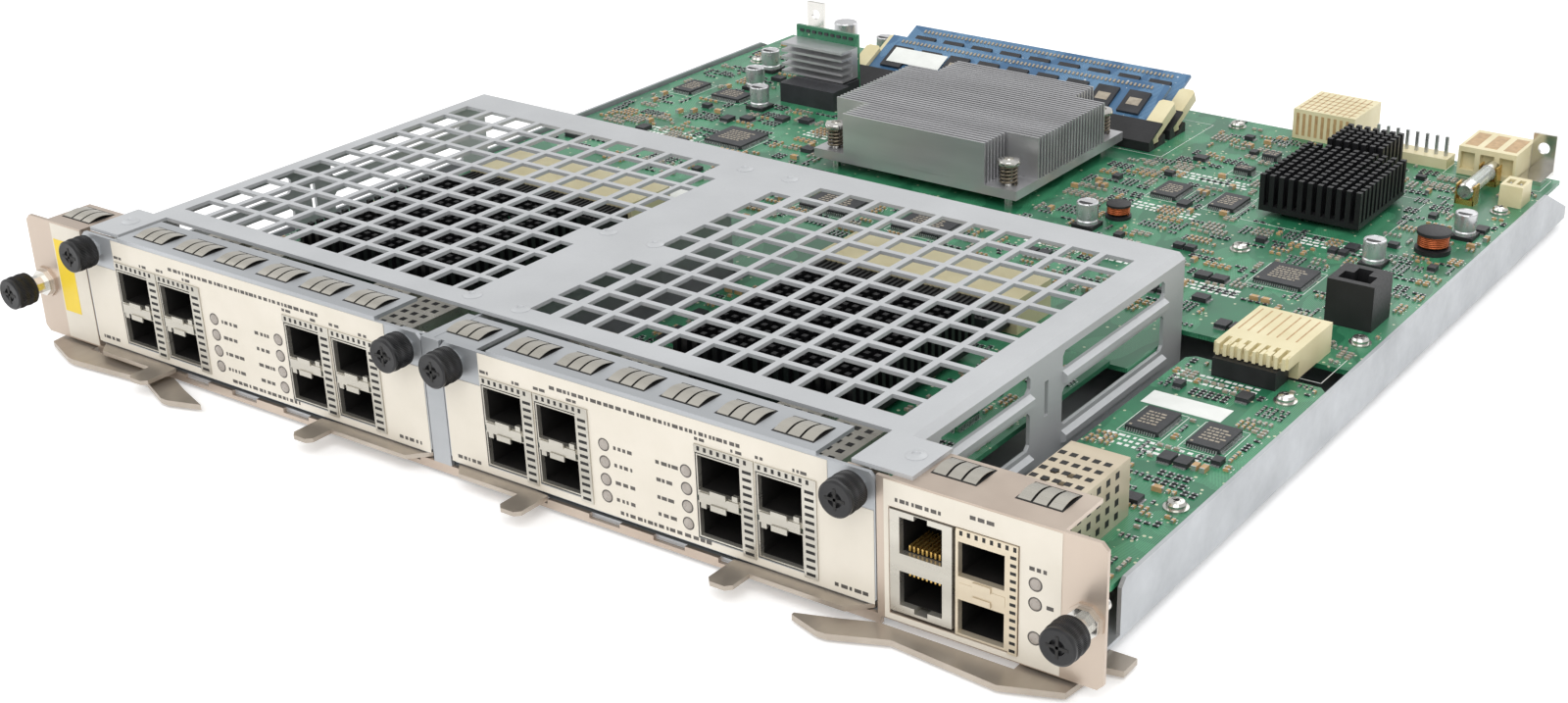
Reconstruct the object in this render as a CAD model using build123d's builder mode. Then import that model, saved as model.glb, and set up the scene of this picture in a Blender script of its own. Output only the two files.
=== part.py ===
"""Interface module: a sheet-metal drawer that carries a processor board, two plug-in port
modules under a perforated cover, and fixed uplink ports on its front panel."""

from build123d import *
from math import cos, radians
import os

os.makedirs("parts", exist_ok=True)

# Overall layout. X runs from the panel's left edge, Y back from the panel's face and
# Z up from the panel's bottom edge; the origin is under the middle of the whole part.
panel_width = 399.2
panel_height = 40.8
sheet = 1.2
fit_gap = 0.3
run_gap = 0.1
left_ear = 27.2
module_width = 149.0
divider_width = 6.9
jack_width = 18.5
uplink_width = 17.8
port_gap = 1.0
right_post = 3.9
module_pitch = module_width + divider_width + 2 * fit_gap
module_lefts = [left_ear + fit_gap, left_ear + fit_gap + module_pitch]
right_section = module_lefts[1] + module_width + fit_gap
window_left = right_section + right_post
jack_x = (window_left + fit_gap, window_left + fit_gap + jack_width)
uplink_x = (jack_x[1] + port_gap, jack_x[1] + port_gap + uplink_width)
window_x = (window_left, uplink_x[1] + fit_gap)
knob_reach = 14.3
connector_back = 392.0
rivet_bottom = -3.3
tray_bottom = -0.6
tray_top = tray_bottom + sheet
origin_y = (connector_back - knob_reach) / 2

# Port module layout
module_names = ["left", "right"]
module_bottom = 2.6
module_top = panel_height + sheet
module_board_z = 16.6
board_thickness = 1.6
module_board_top = module_board_z + board_thickness
port_columns = [15.5, 35.5, module_width - 57.0, module_width - 37.0]
port_width = 14.0
lower_port = (6.0, 16.2)
upper_port = (19.8, 30.2)
cage_depth = 48.0
cage_wall = 0.4
module_board_back = 134.0

# Main board
board_top = 15.0
board_bottom = board_top - board_thickness
board_left = 31.0
board_right = panel_width - 10.7
board_back = 374.0
board_front = 138.0
port_board_left = window_left + 4.8
port_board_back = 157.5
port_board_front = 20.0

# Cover
cover_left = left_ear + 8.3
cover_right = right_section - 0.8
cover_front = 20.5
cover_back = 171.0
cover_top = panel_height + sheet
bend = 2.2

# Flat sides of small round parts. Pins and knobs keep a narrow round land at each corner.
lamp_sides = 4
few_sides = 6
some_sides = 8
land_angle = 8.0


def level(z):
    """Flat plane at height z, with X from the panel's left edge and Y back from its face."""
    return Plane(origin=(-panel_width / 2, -origin_y, z - rivet_bottom))


def upright(y):
    """Plane across the part at depth y, facing the front, with X to the right and Z up."""
    return Plane(
        origin=(-panel_width / 2, y - origin_y, -rivet_bottom),
        x_dir=(1, 0, 0),
        z_dir=(0, -1, 0),
    )


def side(x):
    """Plane along the part at x, facing right, with Y to the back and Z up."""
    return Plane(
        origin=(x - panel_width / 2, -origin_y, -rivet_bottom),
        x_dir=(0, 1, 0),
        z_dir=(1, 0, 0),
    )


def block(x, y, z, mode=Mode.ADD, corner=0.0):
    """A block between two limits on each axis, its upright edges cut back by a corner."""
    with BuildSketch(level(z[0])) as foot:
        with Locations(((x[0] + x[1]) / 2, (y[0] + y[1]) / 2)):
            Rectangle(x[1] - x[0], y[1] - y[0])
        if corner > 0:
            chamfer(foot.vertices(), corner)
    extrude(foot.sketch, amount=z[1] - z[0], mode=mode)


def blocks(places, size, z, mode=Mode.ADD):
    """Like blocks of one size, each centred on its place."""
    with BuildSketch(level(z[0])) as feet:
        with Locations(*places):
            Rectangle(*size)
    extrude(feet.sketch, amount=z[1] - z[0], mode=mode)


def disc(radius, sides, mode):
    """A circle, or a polygon: its corners lie on the radius, and a hole's flats do."""
    if sides > 0:
        outer = mode == Mode.ADD
        RegularPolygon(radius, sides, major_radius=outer, rotation=180 / sides)
    else:
        Circle(radius)


def turned(places, radius, start, length):
    """Pins or knobs with flats between round lands, from a plane along its own direction."""
    flat = radius * cos(radians(180 / few_sides - land_angle / 2))
    with BuildSketch() as section:
        RegularPolygon(flat, few_sides, major_radius=False)
        Circle(radius, mode=Mode.INTERSECT)
    with BuildSketch(start) as ends:
        with Locations(*places):
            add(section.sketch)
    extrude(ends.sketch, amount=length)


def posts(places, radius, z, mode=Mode.ADD, sides=0):
    """Upright round or many-sided posts or holes between two heights."""
    with BuildSketch(level(z[0])) as feet:
        with Locations(*places):
            disc(radius, sides, mode)
    extrude(feet.sketch, amount=z[1] - z[0], mode=mode)


def window(x, z, y, mode=Mode.SUBTRACT, corner=0.0):
    """A cut or a pad seen from the front, between two depths."""
    with BuildSketch(upright(y[0])) as face:
        with Locations(((x[0] + x[1]) / 2, (z[0] + z[1]) / 2)):
            Rectangle(x[1] - x[0], z[1] - z[0])
        if corner > 0:
            chamfer(face.vertices(), corner)
    extrude(face.sketch, amount=y[0] - y[1], mode=mode)


def rods(places, radius, y, mode=Mode.ADD, sides=0):
    """Rods or holes that run back from the front, each at an x and a height."""
    with BuildSketch(upright(y[0])) as ends:
        with Locations(*places):
            disc(radius, sides, mode)
    extrude(ends.sketch, amount=y[0] - y[1], mode=mode)


def outline(points, z, mode=Mode.ADD):
    """A plate of the given outline between two heights."""
    with BuildSketch(level(z[0])) as plate:
        with BuildLine():
            Polyline(*points, close=True)
        make_face()
    extrude(plate.sketch, amount=z[1] - z[0], mode=mode)


def save(made, name):
    """Labels a finished piece and writes its file."""
    made.part.label = name
    export_step(made.part, f"parts/{name}.step")


# Front panel
ear_corner = 1.8
lip_bottom = -2.2
lip_right = right_section + 1.1
flange_back = 19.5
left_flange_back = 17.0
tab_back = 14.0
window_z = (2.2, panel_height - 7.8)
lamp_x = window_x[1] + 4.7
lamp_heights = [24.0, 18.5, 8.8]
lamp_radius = 1.5
main_screw_x = [5.2, panel_width - 5.2]
main_screw_z = 18.5
ferrule_radius = 3.0
boss_radius = 5.1
boss_height = 0.8
lever_inset = (15.2, 7.0)
lever_thickness = 1.8
lever_top = tray_bottom - fit_gap
lever_bottom = lever_top - lever_thickness
pivot_radius = 2.0
rivet_radius = 3.2
module_screw_z = panel_height - 4.8
module_screw_x = [5.75, module_width - 5.75]
nut_plate_y = (3.0, 3.0 + sheet)
nut_plate_z = (module_screw_z - 4.5, module_screw_z + 3.3)
nut_reach = 11.3
nut_half = 5.0
screw_neck = 1.5
screw_thread = 1.75
module_thread = 1.6
nut_radius = module_thread + run_gap
lip_notches = [73.5, 95.5, 118.5, 165.5, 215.0, 241.5, 264.5, 287.0]
lip_notch = (11.0, 1.4)
pivots = [(panel_width - lever_inset[0], lever_inset[1]), lever_inset]
module_screws = [left + x for left in module_lefts for x in module_screw_x]

with BuildPart() as front_panel:
    window((0, left_ear), (0, panel_height), (0, sheet), Mode.ADD, ear_corner)
    window((left_ear / 2, left_ear), (0, panel_height), (0, sheet), Mode.ADD)
    window((right_section, panel_width), (0, panel_height), (0, sheet), Mode.ADD, ear_corner)
    window((right_section, window_x[1]), (0, panel_height), (0, sheet), Mode.ADD)
    window((left_ear - sheet, lip_right), (lip_bottom, tray_top), (0, sheet), Mode.ADD)
    with BuildSketch(upright(0)) as notches:
        with Locations(*[(x, tray_top) for x in lip_notches]):
            Rectangle(lip_notch[0], 2 * lip_notch[1])
    extrude(notches.sketch, amount=-sheet, mode=Mode.SUBTRACT)
    window(window_x, window_z, (0, sheet))
    lamp_places = [(lamp_x, z) for z in lamp_heights]
    rods(lamp_places, lamp_radius, (0, sheet), Mode.SUBTRACT, lamp_sides)
    block((window_x[0], panel_width - 12.2), (0, flange_back), (panel_height - sheet, panel_height))
    block((10.0, left_ear), (0, left_flange_back), (panel_height - sheet, panel_height))
    block((window_x[0], panel_width - 8.2), (0, tab_back), (0, sheet))
    block((8.0, left_ear), (0, tab_back), (0, sheet))
    block((left_ear - sheet, left_ear), (0, nut_plate_y[1]), (0, nut_plate_z[1]))
    block((right_section, right_section + sheet), (0, nut_plate_y[1]), (0, nut_plate_z[1]))
    window((left_ear - sheet, left_ear + nut_reach), nut_plate_z, nut_plate_y, Mode.ADD)
    right_nut = (right_section - nut_reach, right_section + sheet)
    window(right_nut, nut_plate_z, nut_plate_y, Mode.ADD)
    screw_places = [(x, module_screw_z) for x in (module_screws[0], module_screws[-1])]
    rods(screw_places, nut_radius, nut_plate_y, Mode.SUBTRACT, few_sides)
    ear_places = [(x, main_screw_z) for x in main_screw_x]
    rods(ear_places, boss_radius, (-boss_height, 0), Mode.ADD, some_sides)
    ear_hole = (-boss_height, sheet)
    rods(ear_places, ferrule_radius + run_gap, ear_hole, Mode.SUBTRACT, some_sides)
    turned(pivots, pivot_radius, level(rivet_bottom), -rivet_bottom)
    posts(pivots, rivet_radius, (rivet_bottom, lever_bottom - run_gap), Mode.ADD, some_sides)
save(front_panel, "front_panel")

# Divider between the two port modules, with the nut plate for their inner screws
divider_face = (module_lefts[0] + module_width + fit_gap, module_lefts[1] - fit_gap)
divider_web = (divider_face[0] + divider_face[1]) / 2
divider_back = 137.0
divider_top = panel_height - fit_gap
divider_plate = (module_screws[1] - nut_half, module_screws[2] + nut_half)

with BuildPart() as centre_divider:
    window(divider_face, (tray_top, divider_top), (0, sheet), Mode.ADD)
    web = (divider_web - sheet / 2, divider_web + sheet / 2)
    block(web, (0, divider_back), (tray_top, divider_top))
    window(divider_plate, nut_plate_z, nut_plate_y, Mode.ADD)
    screw_places = [(x, module_screw_z) for x in module_screws[1:3]]
    rods(screw_places, nut_radius, nut_plate_y, Mode.SUBTRACT, few_sides)
    foot = (divider_web - sheet / 2, divider_web + 8.0)
    block(foot, (20.0, divider_back), (tray_top, tray_top + sheet))
save(centre_divider, "centre_divider")

# Tray: bottom sheet, side walls that slope down at the back, and pressed standoffs
tray_left = left_ear + 1.4
tray_right = panel_width - 8.4
tray_back = 378.0
wall_top = 16.5
wall_front = 24.0
wall_slope_start = 352.0
wall_back_height = 4.0
standoff_radius = 3.2
screw_radius = 1.4
main_standoffs = [
    (board_right - 5.3, 194.0),
    (board_right - 71.0, 245.0),
    (board_right - 7.5, 329.0),
    (board_left + 12.4, 331.5),
    (board_right - 129.5, 365.0),
]
port_standoffs = [
    (board_right - 7.5, 143.0),
    (board_right - 4.9, 67.5),
    (port_board_left + 6.0, 75.0),
]

with BuildPart() as base_tray:
    outline(
        [
            (tray_left, sheet),
            (right_section, sheet),
            (right_section, tab_back + fit_gap),
            (tray_right, tab_back + fit_gap),
            (tray_right, tray_back),
            (tray_left, tray_back),
        ],
        (tray_bottom, tray_top),
    )
    for start in (tray_left, tray_right - sheet):
        with BuildSketch(side(start)) as wall:
            with BuildLine():
                Polyline(
                    (wall_front, tray_bottom),
                    (tray_back, tray_bottom),
                    (tray_back, wall_back_height),
                    (wall_slope_start, wall_top),
                    (wall_front + bend, wall_top),
                    (wall_front, wall_top - bend),
                    close=True,
                )
            make_face()
        extrude(wall.sketch, amount=sheet)
    standoffs = main_standoffs + port_standoffs
    posts(standoffs, standoff_radius, (tray_top, board_bottom), Mode.ADD, few_sides)
    screw_span = (tray_bottom, board_bottom)
    posts(standoffs, screw_radius + run_gap, screw_span, Mode.SUBTRACT, few_sides)
save(base_tray, "base_tray")

# Cover: folded sheet with a field of square holes, and side slots with rolled edges
hole = 9.8
pitch_x = 12.1
pitch_y = 11.85
hole_rows = 11
hole_columns = 10
first_row = 33.5
field_lefts = [cover_left + 7.0, cover_right - 129.0]
part_holes = [(cover_left + 127.5, cover_left + 133.0), (cover_right - 140.5, cover_right - 132.5)]
plain_rows = [4, 10]
slot_bays = [(30.0, 77.0), (95.0, 158.0)]
upper_slot = (31.5, 37.5)
lower_slot = (14.0, 26.0)
slot_corner = 1.4
bead_radius = 2.0
bead_heights = [29.5, 10.5]
wall_slit = (85.0, 87.0, 21.0, 32.0)
cover_foot = tray_top
cover_tab_front = 2.0

with BuildPart() as module_cage:
    with BuildSketch(upright(cover_front)) as skin:
        with BuildLine():
            Polyline(
                (cover_left + sheet / 2, cover_foot),
                (cover_left + sheet / 2, cover_top - bend),
                (cover_left + bend, cover_top - sheet / 2),
                (cover_right - bend, cover_top - sheet / 2),
                (cover_right - sheet / 2, cover_top - bend),
                (cover_right - sheet / 2, cover_foot),
            )
            offset(amount=sheet / 2, side=Side.BOTH, kind=Kind.INTERSECTION)
        make_face()
        with Locations(((cover_left + cover_right) / 2, cover_foot - sheet)):
            Rectangle(cover_right - cover_left, 2 * sheet, mode=Mode.SUBTRACT)
    extrude(skin.sketch, amount=cover_front - cover_back)
    with BuildSketch(level(cover_top)) as holes:
        for left in field_lefts:
            for column in range(hole_columns):
                for row in range(hole_rows):
                    with Locations(
                        (
                            left + column * pitch_x + hole / 2,
                            first_row + row * pitch_y,
                        )
                    ):
                        Rectangle(hole, hole)
        for row in range(hole_rows):
            if row not in plain_rows:
                for low, high in part_holes:
                    with Locations(((low + high) / 2, first_row + row * pitch_y)):
                        Rectangle(high - low, hole)
    extrude(holes.sketch, amount=-sheet, mode=Mode.SUBTRACT)
    with BuildSketch(side(cover_left)) as slots:
        for low, high in slot_bays:
            for bottom, top in (upper_slot, lower_slot):
                with Locations(((low + high) / 2, (bottom + top) / 2)):
                    Rectangle(high - low, top - bottom)
        chamfer(slots.vertices(), slot_corner)
        with Locations(
            ((wall_slit[0] + wall_slit[1]) / 2, (wall_slit[2] + wall_slit[3]) / 2)
        ):
            Rectangle(wall_slit[1] - wall_slit[0], wall_slit[3] - wall_slit[2])
    extrude(slots.sketch, amount=cover_right - cover_left, mode=Mode.SUBTRACT)
    for wall_x, outward in ((cover_left, -1), (cover_right, 1)):
        for low, high in slot_bays:
            with BuildSketch(upright(low)) as beads:
                with Locations(*[(wall_x, z) for z in bead_heights]):
                    RegularPolygon(bead_radius, few_sides, rotation=30)
                with Locations((wall_x - outward * bead_radius, sum(bead_heights) / 2)):
                    Rectangle(2 * bead_radius, panel_height, mode=Mode.SUBTRACT)
            extrude(beads.sketch, amount=low - high)
    block(
        (cover_left - 5.5, cover_left + 8.0),
        (cover_tab_front, cover_front),
        (panel_height, cover_top),
    )
    block(
        (cover_right - 8.0, cover_right + 10.5),
        (cover_tab_front, cover_front),
        (panel_height, cover_top),
    )
save(module_cage, "module_cage")

# Processor board and port board
port_corner = 2.5
notch_clearance = 2.0
notch_front = cover_back + notch_clearance
notch_left = cover_left + sheet + fit_gap
notch_right = cover_right - sheet - fit_gap
screw_hole = screw_radius + 2 * run_gap
bracket_x = [board_left + 10.0, board_right - 8.7]

with BuildPart() as main_board:
    with BuildSketch(level(board_bottom)) as plate:
        with BuildLine():
            Polyline(
                (notch_left, board_front),
                (notch_right, board_front),
                (notch_right, notch_front),
                (board_right, notch_front),
                (board_right, board_back),
                (board_left, board_back),
                (board_left, notch_front),
                (notch_left, notch_front),
                close=True,
            )
        make_face()
    extrude(plate.sketch, amount=board_thickness)
    board_span = (board_bottom, board_top)
    posts(main_standoffs, screw_hole, board_span, Mode.SUBTRACT, few_sides)
save(main_board, "main_board")

with BuildPart() as port_board:
    port_span = (port_board_front, port_board_back)
    block((port_board_left, board_right), port_span, board_span, corner=port_corner)
    posts(port_standoffs, screw_hole, board_span, Mode.SUBTRACT, few_sides)
save(port_board, "port_board")

# Board screws
head_radius = 3.2
head_height = 2.2
screw_depth = 5.0

with BuildPart() as board_screws:
    screw_spots = main_standoffs + port_standoffs
    posts(screw_spots, head_radius, (board_top, board_top + head_height), Mode.ADD, few_sides)
    posts(screw_spots, screw_radius, (board_bottom - screw_depth, board_top), Mode.ADD, few_sides)
save(board_screws, "board_screws")

# Link between the port board and the processor board
receptacle_x = (port_board_left + 11.5, port_board_left + 36.0)
header_x = (receptacle_x[0] + 1.0, receptacle_x[1] - 2.5)
header_y = (147.5, 157.0)
header_top = 21.0
receptacle_y = (158.5, 183.0)
receptacle_top = 25.0
comb_y = (150.5, 158.5)
comb_pitch = 3.2
comb_slot = 1.4

with BuildPart() as link_header:
    block(header_x, header_y, (board_top, header_top))
save(link_header, "link_header")

with BuildPart() as link_receptacle:
    block(receptacle_x, (notch_front, receptacle_y[1]), (board_top, receptacle_top))
    block(receptacle_x, receptacle_y, (board_top + fit_gap, receptacle_top))
    hood = (header_top + fit_gap, receptacle_top)
    block(receptacle_x, (comb_y[0], receptacle_y[0]), hood)
    comb_middle = (receptacle_x[0] + receptacle_x[1]) / 2
    comb_slots = [(comb_middle + i * comb_pitch, comb_y[0]) for i in range(-3, 4)]
    comb_depth = 2 * (comb_y[1] - comb_y[0]) - 4
    blocks(comb_slots, (comb_slot, comb_depth), (receptacle_top - 2.0, receptacle_top), Mode.SUBTRACT)
save(link_receptacle, "link_receptacle")

# Stacked network jack, two ports high
jack_z = (board_top - 11.6, 32.6)
jack_back = 24.0
jack_ports = [(20.6, 31.0), (5.6, 15.6)]
jack_port_x = (jack_x[0] + 2.9, jack_x[1] - 2.9)
jack_tab = (4.0, 1.4)
jack_depth = 14.0

with BuildPart() as rj45_jack:
    window(jack_x, jack_z, (-0.4, port_board_front - fit_gap), Mode.ADD)
    block(jack_x, (port_board_front - fit_gap, jack_back + 6.0), (board_top, jack_z[1]))
    for low, high in jack_ports:
        window(jack_port_x, (low, high), (-0.4, jack_depth))
    jack_middle = (jack_port_x[0] + jack_port_x[1]) / 2
    tab_x = (jack_middle - jack_tab[0] / 2, jack_middle + jack_tab[0] / 2)
    window(tab_x, (jack_ports[0][1] - 1.0, jack_ports[0][1] + jack_tab[1]), (-0.4, jack_depth / 2))
    window(tab_x, (jack_ports[1][0] - jack_tab[1], jack_ports[1][0] + 1.0), (-0.4, jack_depth / 2))
save(rj45_jack, "rj45_jack")

# Uplink cage: two ports high, behind the panel's window
uplink_z = (2.6, 32.3)
uplink_back = 57.0
uplink_ports = [(3.2, 13.0), (19.6, 29.4)]
uplink_port_x = (uplink_x[0] + 0.8, uplink_x[1] - 3.6)
uplink_depth = 48.0
vent_radius = 1.4
vent_pitch = 5.0

with BuildPart() as uplink_sfp_cage:
    window(uplink_x, uplink_z, (-0.4, port_board_front - fit_gap), Mode.ADD)
    behind = (port_board_front - fit_gap, uplink_back)
    block(uplink_x, behind, (board_top, uplink_z[1]))
    block(uplink_x, behind, (uplink_z[0], board_bottom))
    for port in uplink_ports:
        window(uplink_port_x, port, (-0.4, uplink_depth))
    with BuildSketch(level(uplink_z[1])) as vents:
        with Locations((sum(uplink_port_x) / 2, 32.0)):
            with GridLocations(vent_pitch, vent_pitch, 2, 4):
                RegularPolygon(vent_radius, few_sides)
    extrude(vents.sketch, amount=uplink_ports[1][1] - uplink_z[1], mode=Mode.SUBTRACT)
save(uplink_sfp_cage, "uplink_sfp_cage")

# Processor heatsink: a comb of fins with a stepped-down corner at each spring screw
sink_x = (144.0, 233.4)
sink_y = (234.5, 315.0)
chip_top = 19.0
sink_base_top = 22.5
sink_top = 38.4
sink_fins = 22
sink_fin = 1.1
sink_corner = 13.5
sink_screw_inset = (6.5, 5.5)
sink_pitch = (sink_y[1] - sink_y[0] - sink_fin) / (sink_fins - 1)
sink_middle = ((sink_x[0] + sink_x[1]) / 2, (sink_y[0] + sink_y[1]) / 2)
sink_spacing = (
    sink_x[1] - sink_x[0] - 2 * sink_screw_inset[0],
    sink_y[1] - sink_y[0] - 2 * sink_screw_inset[1],
)
sink_screw = 1.6
spring_radius = 3.6
spring_top = 30.4
sink_head_radius = 4.2
sink_head_top = 32.0
sink_screws = [
    (sink_middle[0] + i * sink_spacing[0] / 2, sink_middle[1] + j * sink_spacing[1] / 2)
    for i in (-1, 1)
    for j in (-1, 1)
]

with BuildPart() as cpu_heatsink:
    block(sink_x, sink_y, (chip_top, sink_base_top))
    with BuildSketch(side(sink_x[0])) as comb:
        with Locations((sink_middle[1], (sink_base_top + sink_top) / 2)):
            with GridLocations(sink_pitch, 1, sink_fins, 1):
                Rectangle(sink_fin, sink_top - sink_base_top)
    extrude(comb.sketch, amount=sink_x[1] - sink_x[0])
    corners = [(x, y) for x in sink_x for y in sink_y]
    corner_size = (2 * sink_corner, 2 * sink_corner)
    blocks(corners, corner_size, (sink_base_top, sink_top), Mode.SUBTRACT)
    base_span = (chip_top, sink_base_top)
    posts(sink_screws, sink_screw + run_gap, base_span, Mode.SUBTRACT, few_sides)
save(cpu_heatsink, "cpu_heatsink")

with BuildPart() as heatsink_screws:
    posts(sink_screws, sink_screw, (board_top, sink_head_top), Mode.ADD, few_sides)
    posts(sink_screws, sink_head_radius, (spring_top, sink_head_top), Mode.ADD, some_sides)
save(heatsink_screws, "heatsink_screws")

with BuildPart() as heatsink_springs:
    spring_span = (sink_base_top, spring_top)
    posts(sink_screws, spring_radius, spring_span, Mode.ADD, few_sides)
    posts(sink_screws, sink_screw + run_gap, spring_span, Mode.SUBTRACT, few_sides)
save(heatsink_springs, "heatsink_springs")

# Two black finned heatsinks on the bridge chips
black_fin = 2.0
pin_sink_top = 31.0
small_sink_top = 32.0
pin_base = (17.4, 19.4)
big_sink = ((308.5, 347.0), (278.5, 321.0), 9)
small_sink = ((314.0, 336.0), (325.0, 346.0), 6)


def finned(x, y, fins, base, top, fin):
    """A base plate with a row of upright fins that run from front to back."""
    block(x, y, base)
    step = (x[1] - x[0] - fin) / (fins - 1)
    with BuildSketch(level(base[1])) as row:
        with Locations(((x[0] + x[1]) / 2, (y[0] + y[1]) / 2)):
            with GridLocations(step, step, fins, 1):
                Rectangle(fin, y[1] - y[0])
    extrude(row.sketch, amount=top - base[1])


with BuildPart() as pin_fin_heatsink:
    finned(*big_sink, pin_base, pin_sink_top, black_fin)
save(pin_fin_heatsink, "pin_fin_heatsink")

with BuildPart() as small_pin_fin_heatsink:
    finned(*small_sink, pin_base, small_sink_top, black_fin)
save(small_pin_fin_heatsink, "small_pin_fin_heatsink")

# Chips on the boards, each an x, y, width, depth and height
chips = [
    (188.7, 274.7, 46.0, 46.0, chip_top - board_top),
    (327.8, 299.8, 27.0, 27.0, pin_base[0] - board_top),
    (325.0, 335.5, 15.0, 15.0, pin_base[0] - board_top),
    (271.5, 283.0, 10.0, 15.0, 1.6),
    (295.0, 283.0, 10.0, 15.0, 1.6),
    (342.0, 230.0, 17.0, 17.0, 1.6),
    (100.0, 243.0, 18.0, 18.0, 1.6),
    (65.0, 285.0, 14.0, 10.0, 1.6),
    (44.0, 285.0, 9.0, 14.0, 1.6),
    (175.0, 206.0, 20.0, 20.0, 1.6),
    (215.0, 206.0, 20.0, 20.0, 1.6),
    (355.0, 109.0, 10.5, 15.0, 1.6),
    (374.5, 109.0, 10.5, 15.0, 1.6),
    (285.0, 317.0, 7.0, 5.0, 2.4),
    (287.0, 337.0, 6.0, 5.0, 2.4),
]

with BuildPart() as board_chips:
    for x, y, width, depth, height in chips:
        block(
            (x - width / 2, x + width / 2),
            (y - depth / 2, y + depth / 2),
            (board_top, board_top + height),
        )
save(board_chips, "board_chips")

# Leaning memory modules in angled sockets, with a swinging latch at each end
dimm_width = 133.35
dimm_height = 31.0
dimm_slope = 25.0
dimm_centre = 168.5
dimm_foot = (323.0, 17.6)
dimm_step = 17.5
dimm_board = 1.3
dimm_chip = (9.5, 12.5, 1.1)
dimm_chips = 9
dimm_chip_pitch = 14.2
socket_half = 75.0
socket_wall = 3.2
socket_slope = 8.0
socket_back = 4.0
slot_floor = 0.7
latch_inner = dimm_width / 2 + fit_gap
latch_width = 6.8
latch_height = 22.0
latch_half = 2.1
latch_heel = 3.0
latch_corner = 1.2
latch_pin = 1.0
latch_pivot = (latch_inner + 4.6, 3.0)
latch_rows = ["front", "rear"]


def dimm_plane(row):
    """Plane of one memory module: X along it, Y up its slope and Z out of its top face."""
    foot = level(dimm_foot[1]).from_local_coords(
        Vector(dimm_centre, dimm_foot[0] + row * dimm_step, 0)
    )
    return Plane(origin=foot, x_dir=(1, 0, 0), z_dir=(0, 0, 1)).rotated((dimm_slope, 0, 0))


def lean_block(row, x, y, z, mode=Mode.ADD):
    """A block on a leaning module's plane, between limits across, up and through it."""
    with BuildSketch(dimm_plane(row).offset(z[0])) as foot:
        with Locations(((x[0] + x[1]) / 2, (y[0] + y[1]) / 2)):
            Rectangle(x[1] - x[0], y[1] - y[0])
    extrude(foot.sketch, amount=z[1] - z[0], mode=mode)


half_board = dimm_board / 2
half_dimm = dimm_width / 2
for row, row_name in enumerate(latch_rows):
    with BuildPart() as memory_module:
        span = (slot_floor + run_gap, slot_floor + run_gap + dimm_height)
        lean_block(row, (-half_dimm, half_dimm), span, (-half_board, half_board))
        chip_y = (span[0] + span[1]) / 2 + 2.0
        with BuildSketch(dimm_plane(row).offset(half_board)) as chip_feet:
            with Locations((0, chip_y)):
                with GridLocations(dimm_chip_pitch, 1, dimm_chips, 1):
                    Rectangle(dimm_chip[0], dimm_chip[1])
        extrude(chip_feet.sketch, amount=dimm_chip[2])
    save(memory_module, f"{row_name}_memory_module")

with BuildPart() as memory_sockets:
    for row in range(len(latch_rows)):
        slope = dimm_plane(row)
        home = level(0)

        def corner(up, out):
            """Depth and height of a point given up the slope and out of the module's face."""
            point = home.to_local_coords(slope.from_local_coords(Vector(0, up, out)))
            return (point.Y, point.Z)

        front_top = corner(-socket_back, socket_wall)
        back_top = corner(socket_slope, socket_wall)
        back_low = corner(socket_slope, -socket_wall)
        with BuildSketch(side(dimm_centre - socket_half)) as profile:
            with BuildLine():
                Polyline(
                    (front_top[0], board_top),
                    front_top,
                    back_top,
                    back_low,
                    (back_low[0], board_top),
                    close=True,
                )
            make_face()
        extrude(profile.sketch, amount=2 * socket_half)
        slot_x = (-half_dimm - run_gap, half_dimm + run_gap)
        slot_z = (-half_board - run_gap, half_board + run_gap)
        lean_block(row, slot_x, (slot_floor, 2 * socket_slope), slot_z, Mode.SUBTRACT)
        pocket_z = (-latch_half - fit_gap, latch_half + fit_gap)
        for end in (-1, 1):
            ends = sorted([end * (latch_inner - fit_gap), end * (socket_half + 1)])
            lean_block(row, ends, (-1.0, 2 * socket_slope), pocket_z, Mode.SUBTRACT)
            with BuildSketch(slope.offset(-latch_half - 2 * fit_gap)) as pin:
                with Locations((end * latch_pivot[0], latch_pivot[1])):
                    RegularPolygon(latch_pin, few_sides)
            extrude(pin.sketch, amount=2 * latch_half + 4 * fit_gap)
save(memory_sockets, "memory_sockets")

for row, row_name in enumerate(latch_rows):
    for end, end_name in ((-1, "left"), (1, "right")):
        with BuildPart() as latch:
            with BuildSketch(dimm_plane(row).offset(-latch_half)) as shape:
                pivot_spot = (end * latch_pivot[0], latch_pivot[1])
                with Locations(pivot_spot):
                    heel_flat = latch_heel * cos(radians(180 / few_sides - land_angle / 2))
                    RegularPolygon(heel_flat, few_sides, major_radius=False)
                    Circle(latch_heel, mode=Mode.INTERSECT)
                with Locations((end * (latch_inner + latch_width / 2), 0)):
                    with Locations((0, (latch_height + latch_pivot[1]) / 2)):
                        Rectangle(latch_width, latch_height - latch_pivot[1])
                chamfer(shape.vertices().group_by(Axis.Y)[-1], latch_corner)
                with Locations(pivot_spot):
                    RegularPolygon(
                        latch_pin + run_gap / 2, few_sides, major_radius=False, mode=Mode.SUBTRACT
                    )
            extrude(shape.sketch, amount=2 * latch_half)
        save(latch, f"{row_name}_{end_name}_memory_latch")

# Power converter: a base with its magnetics, a finned heatsink and an upright board
converter_x = (77.0, 108.0)
converter_board_y = (315.2, 316.8)
converter_base_size = ((85.0, 112.0), (292.0, 303.6), (board_top, 23.0))
converter_sink_y = (304.0, 315.2)
converter_fins = 5
converter_fin = 1.0
converter_core = 4.0

with BuildPart() as converter_board:
    block(converter_x, converter_board_y, (board_top, 41.0))
save(converter_board, "converter_board")

with BuildPart() as converter_base:
    block(*converter_base_size)
    block((88.0, 109.0), (converter_base_size[1][1], 314.9), (board_top, 22.6))
save(converter_base, "converter_base")

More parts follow.
